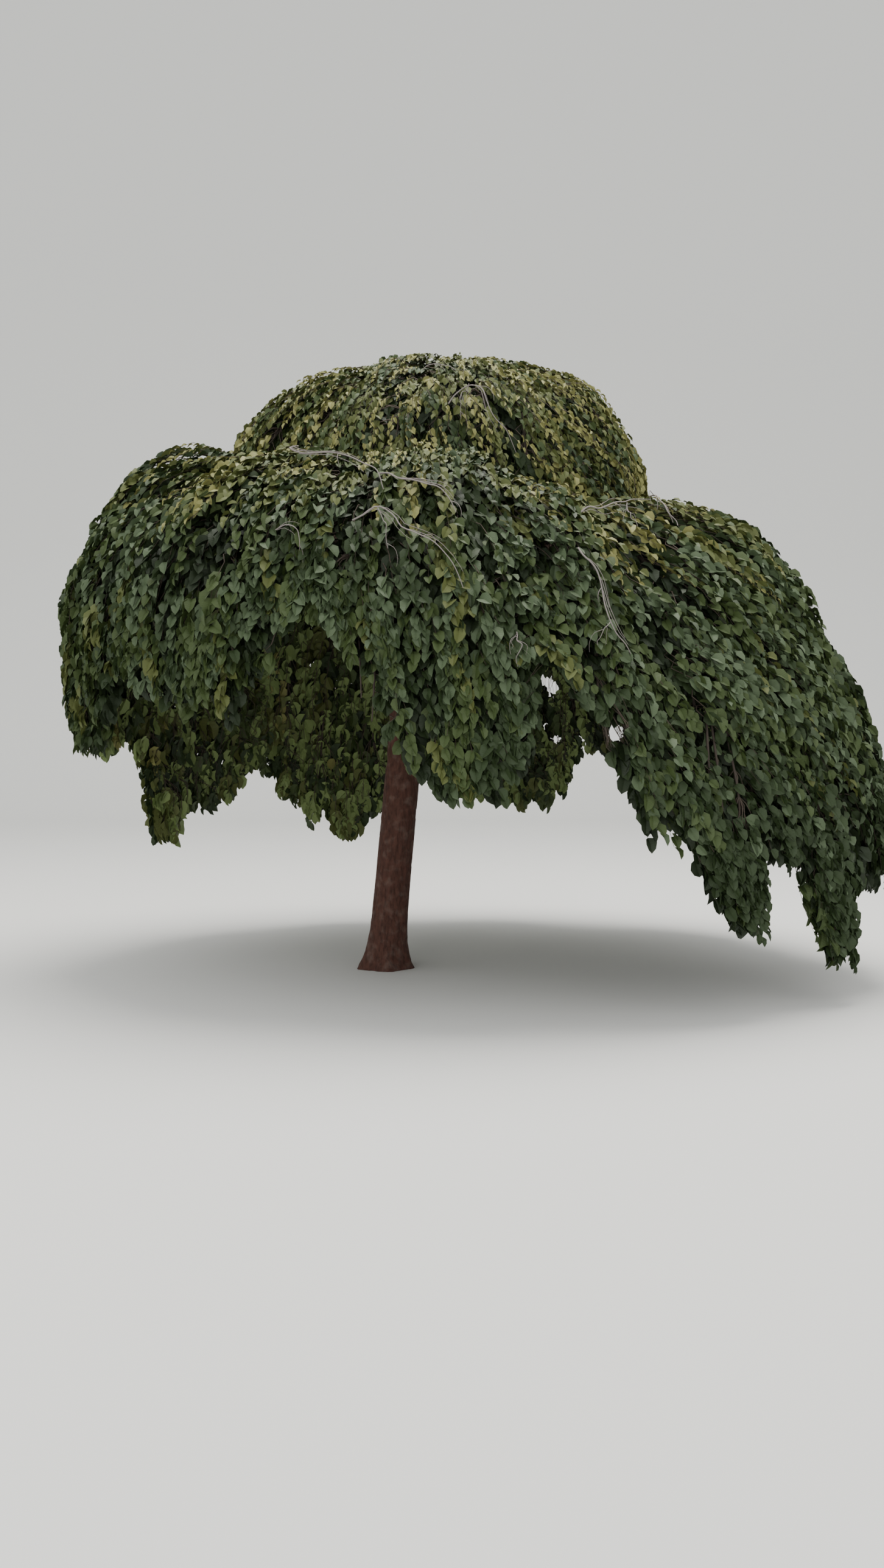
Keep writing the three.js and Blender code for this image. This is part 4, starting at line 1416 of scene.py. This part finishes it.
def leaf_nodes():
    """Puts a leaf on each point, turned and sized by the point, and gives it its tint."""
    sockets = [
        ("Points", "Geometry"),
        ("Leaf", "Object"),
        ("Size Variation", "Float", SIZE_VARIES),
        ("Twist", "Float", TWIST),
        ("Seed", "Int", 7),
    ]
    sockets += [(f"Material {tint}", "Material") for tint in TINTS]
    graph, given, out = new_group("Leaf Sprays", "GeometryNodeTree", sockets, [("Mesh", "Geometry")])
    leaf = graph.add("GeometryNodeObjectInfo", {0: given["Leaf"], 1: True}, "Geometry")
    turn = graph.add("FunctionNodeEulerToRotation", {0: graph.attribute("turn", "FLOAT_VECTOR")})
    twist = graph.add(
        "FunctionNodeRandomValue",
        {0: graph.maths("MULTIPLY", given["Twist"], -1.0), 1: given["Twist"], 8: given["Seed"]},
        data_type="FLOAT_VECTOR",
    )
    twist = graph.add("FunctionNodeEulerToRotation", {0: twist})
    turned = graph.add("FunctionNodeRotateRotation", {0: turn, 1: twist}, rotation_space="LOCAL")
    smallest, largest = (graph.maths(way, 1.0, given["Size Variation"]) for way in ("SUBTRACT", "ADD"))
    seed = graph.maths("ADD", given["Seed"], 1.0)
    vary = graph.add(
        "FunctionNodeRandomValue", {2: smallest, 3: largest, 8: seed}, 1, data_type="FLOAT"
    )
    size = graph.attribute("size", "FLOAT")
    varied = graph.maths("MULTIPLY", size, vary)
    broad = graph.maths("MULTIPLY", graph.attribute("breadth", "FLOAT"), varied)
    scale = graph.add("ShaderNodeCombineXYZ", {0: broad, 1: size, 2: size})
    placed = {0: given["Points"], 2: leaf, 5: turned, 6: scale}
    made = graph.add("GeometryNodeRealizeInstances", {0: graph.add("GeometryNodeInstanceOnPoints", placed)})
    for number, tint in enumerate(TINTS):
        chosen = graph.add(
            "FunctionNodeCompare", {2: graph.attribute("tint", "INT"), 3: number},
            data_type="INT", operation="EQUAL",
        )
        made = graph.add("GeometryNodeSetMaterial", {0: made, 1: chosen, 2: given[f"Material {tint}"]})
    graph.feed(out["Mesh"], made)
    return graph.tree


def twig_nodes():
    """Gives rows of points their thickness."""
    sockets = [("Rows", "Geometry"), ("Sides", "Int", 3), ("Thickness", "Float", 1.0), ("Bark", "Material")]
    graph, given, out = new_group("Twigs", "GeometryNodeTree", sockets, [("Mesh", "Geometry")])
    curve = graph.add("GeometryNodeMeshToCurve", {0: given["Rows"]})
    section = graph.add("GeometryNodeCurvePrimitiveCircle", {0: given["Sides"], 4: 1.0})
    scale = graph.maths("MULTIPLY", graph.attribute("girth", "FLOAT"), given["Thickness"])
    mesh = graph.add("GeometryNodeCurveToMesh", {0: curve, 1: section, 2: scale, 3: True})
    made = graph.add("GeometryNodeRealizeInstances", {0: mesh})
    graph.feed(out["Mesh"], graph.add("GeometryNodeSetMaterial", {0: made, 2: given["Bark"]}))
    return graph.tree


def grow_tubes(name, growths, sides, bark, group):
    """One mesh of round branches from rows of points."""
    points = np.concatenate([g.points.reshape(-1, 3) for g in growths])
    girth = np.concatenate([g.radii.ravel() for g in growths])
    edges, count = [], 0
    for rows, long in (g.radii.shape for g in growths):
        for _ in range(rows):
            edges.extend((count + i, count + i + 1) for i in range(long - 1))
            count += long
    values = {"Sides": sides, "Thickness": 1.0, "Bark": bark}
    return run_nodes(name, group, points, edges, {"girth": girth}, values)


class ELM_OT_trunk(bpy.types.Operator):
    """Builds the trunk with the relief of its bark"""

    bl_idname = "elm.trunk"
    bl_label = "Trunk"

    def execute(self, context):
        sizes = context.scene.elm_trunk
        bark = cracked_bark("bark_trunk", sizes.ridge_colour, sizes.crack_colour, TRUNK_FINISH)
        settle(mesh_piece("trunk_bark", *trunk_mesh(sizes), bark), "bark", "trunk")
        return {"FINISHED"}


class ELM_OT_boughs(bpy.types.Operator):
    """Builds the boughs and leaders that come out of the graft"""

    bl_idname = "elm.boughs"
    bl_label = "Boughs"

    def execute(self, context):
        sizes = context.scene.elm_trunk
        bark = cracked_bark("bark_boughs", sizes.bough_colour, sizes.crack_colour, BOUGH_FINISH)
        rng = np.random.default_rng(SEED + 2)
        limbs = {f"bough_{lobe.name}": (azimuth_at(lobe), BOUGH) for lobe in LOBES}
        limbs.update({name: (azimuth, LEADER) for name, azimuth in LEADERS.items()})
        parts = [
            bough_mesh(bough_path(azimuth, size, BOUGH_RINGS), size, sizes.limb_relief, rng)
            for azimuth, size in limbs.values()
        ]
        settle(mesh_piece("boughs_bark", *join(parts), bark), "bark", *limbs)
        return {"FINISHED"}


class ELM_OT_foliage(bpy.types.Operator):
    """Grows the limbs, twigs and leaves of every lobe of the crown"""

    bl_idname = "elm.foliage"
    bl_label = "Limbs, twigs and leaves"

    def execute(self, context):
        sizes = context.scene.elm_foliage
        limbs = all_limbs()
        tubes = twig_nodes()
        # Limbs and twigs inside the crown take bark colours darkened as painted shade.
        grey = young_bark("bark_limbs", sizes.limb_colour)
        brown = young_bark("bark_twigs", sizes.twig_colour)
        pale = young_bark("bark_bare_limbs", sizes.bare_colour)
        settle(grow_tubes("bare_limbs", bare_limbs(), LIMB_SIDES, pale, tubes), "bark")
        settle(grow_tubes("limbs", list(limbs.values()), LIMB_SIDES, grey, tubes), "bark")
        rims = (LEAF_RIM, SMALL_LEAF_RIM)
        leaf, small_leaf = (leaf_object(sizes.leaf_width, sizes.leaf_length, rim) for rim in rims)
        values = {"Size Variation": SIZE_VARIES, "Twist": TWIST}
        for tint in TINTS:
            base = getattr(sizes, tint)
            values[f"Material {tint}"] = new_material(f"leaf_{tint}", LEAF, {}, LEAF_FINISH, base)
        group = leaf_nodes()
        for number, patch in enumerate(all_patches()):
            rng = np.random.default_rng(SEED + 10 + number)
            sprays = patch_sprays(patch, sizes, rng)
            near = [limbs["dome" if patch.in_dome else patch.name]]
            if patch.tip:
                near.append(limbs[f"tip_{patch.tip}"])
            twigs = [twig_growth(sprays, near, rng)]
            settle(grow_tubes(f"twigs_{patch.name}", twigs, TWIG_SIDES, brown, tubes), "bark")
            points, attributes = put_leaves(sprays, sizes.leaves, rng)
            values.update({"Leaf": small_leaf if patch.in_dome else leaf, "Seed": 7 + number})
            piece = run_nodes(f"leaves_{patch.name}", group, points, [], attributes, values)
            settle(piece, "leaves", *patch.nodes)
        bpy.data.objects.remove(leaf)
        bpy.data.objects.remove(small_leaf)
        return {"FINISHED"}


class ELM_OT_stage(bpy.types.Operator):
    """Sets the floor, the backdrop, the studio lights and the camera"""

    bl_idname = "elm.stage"
    bl_label = "Stage"

    def execute(self, context):
        sizes = context.scene.elm_stage
        self.floor(sizes)
        self.lights(context)
        self.camera(context, sizes)
        return {"FINISHED"}

    def floor(self, sizes):
        """A floor that curves up into a backdrop behind the tree."""
        material = bpy.data.materials.new("studio_floor")
        material.use_nodes = True
        shader = material.node_tree.nodes["Principled BSDF"]
        shader.inputs["Base Color"].default_value = (*sizes.floor_colour, 1)
        shader.inputs["Roughness"].default_value = 0.85
        turns = np.radians(np.linspace(0, 90, 24))
        line = [(FLOOR_NEAR, 0.0)]
        line += [(FLOOR_FAR + FLOOR_BEND * math.sin(t), FLOOR_BEND * (1 - math.cos(t))) for t in turns]
        line.append((FLOOR_FAR + FLOOR_BEND, BACKDROP_TOP))
        vertices = [(x, y, z) for y, z in line for x in (-FLOOR_HALF, FLOOR_HALF)]
        faces = [(2 * i, 2 * i + 1, 2 * i + 3, 2 * i + 2) for i in range(len(line) - 1)]
        mesh_piece("studio_floor", np.array(vertices), faces, material)

    def lights(self, context):
        for name, place, width, watts, tone in LAMPS:
            lamp = bpy.data.lights.new(name, "AREA")
            lamp.shape, lamp.size, lamp.energy, lamp.color = "DISK", width, watts, tone
            x, y, z = np.array(LAMPS_AIM) - place
            turn = (math.atan2(math.hypot(x, y), -z), 0, math.atan2(y, x) - math.pi / 2)
            add_object(name, lamp, place, turn)
        world = bpy.data.worlds.new("studio")
        world.use_nodes = True
        sky = world.node_tree.nodes["Background"].inputs
        sky["Color"].default_value = SKY_COLOUR
        sky["Strength"].default_value = SKY_STRENGTH
        context.scene.world = world

    def camera(self, context, sizes):
        camera = bpy.data.cameras.new("camera")
        camera.lens, camera.sensor_width, camera.clip_end = sizes.lens, 36, 200
        place = (sizes.aside, -sizes.distance, sizes.eye_height)
        turn = (math.pi / 2 - sizes.pitch, 0, 0)
        context.scene.camera = add_object("camera", camera, place, turn)


class ELM_PT_panel(bpy.types.Panel):
    """Lists the steps that build the tree"""

    bl_idname = "ELM_PT_panel"
    bl_label = "Weeping Elm"
    bl_space_type = "VIEW_3D"
    bl_region_type = "UI"
    bl_category = "Weeping Elm"

    def draw(self, context):
        for operator, settings in STEPS:
            box = self.layout.box()
            box.operator(operator.bl_idname)
            group = getattr(context.scene, settings)
            for field in group.bl_rna.properties:
                if field.identifier not in ("rna_type", "name"):
                    box.prop(group, field.identifier)


STEPS = (
    (ELM_OT_trunk, "elm_trunk"),
    (ELM_OT_boughs, "elm_trunk"),
    (ELM_OT_foliage, "elm_foliage"),
    (ELM_OT_stage, "elm_stage"),
)
SETTINGS = {"elm_trunk": ELM_PG_trunk, "elm_foliage": ELM_PG_foliage, "elm_stage": ELM_PG_stage}
CLASSES = (*SETTINGS.values(), *(step[0] for step in STEPS), ELM_PT_panel)


def register():
    for item in CLASSES:
        bpy.utils.register_class(item)
    for name, kind in SETTINGS.items():
        setattr(bpy.types.Scene, name, PointerProperty(type=kind))


def unregister():
    for name in SETTINGS:
        delattr(bpy.types.Scene, name)
    for item in reversed(CLASSES):
        bpy.utils.unregister_class(item)


def main():
    register()
    bpy.ops.elm.trunk()
    bpy.ops.elm.boughs()
    bpy.ops.elm.foliage()
    bpy.ops.elm.stage()


if __name__ == "__main__":
    main()
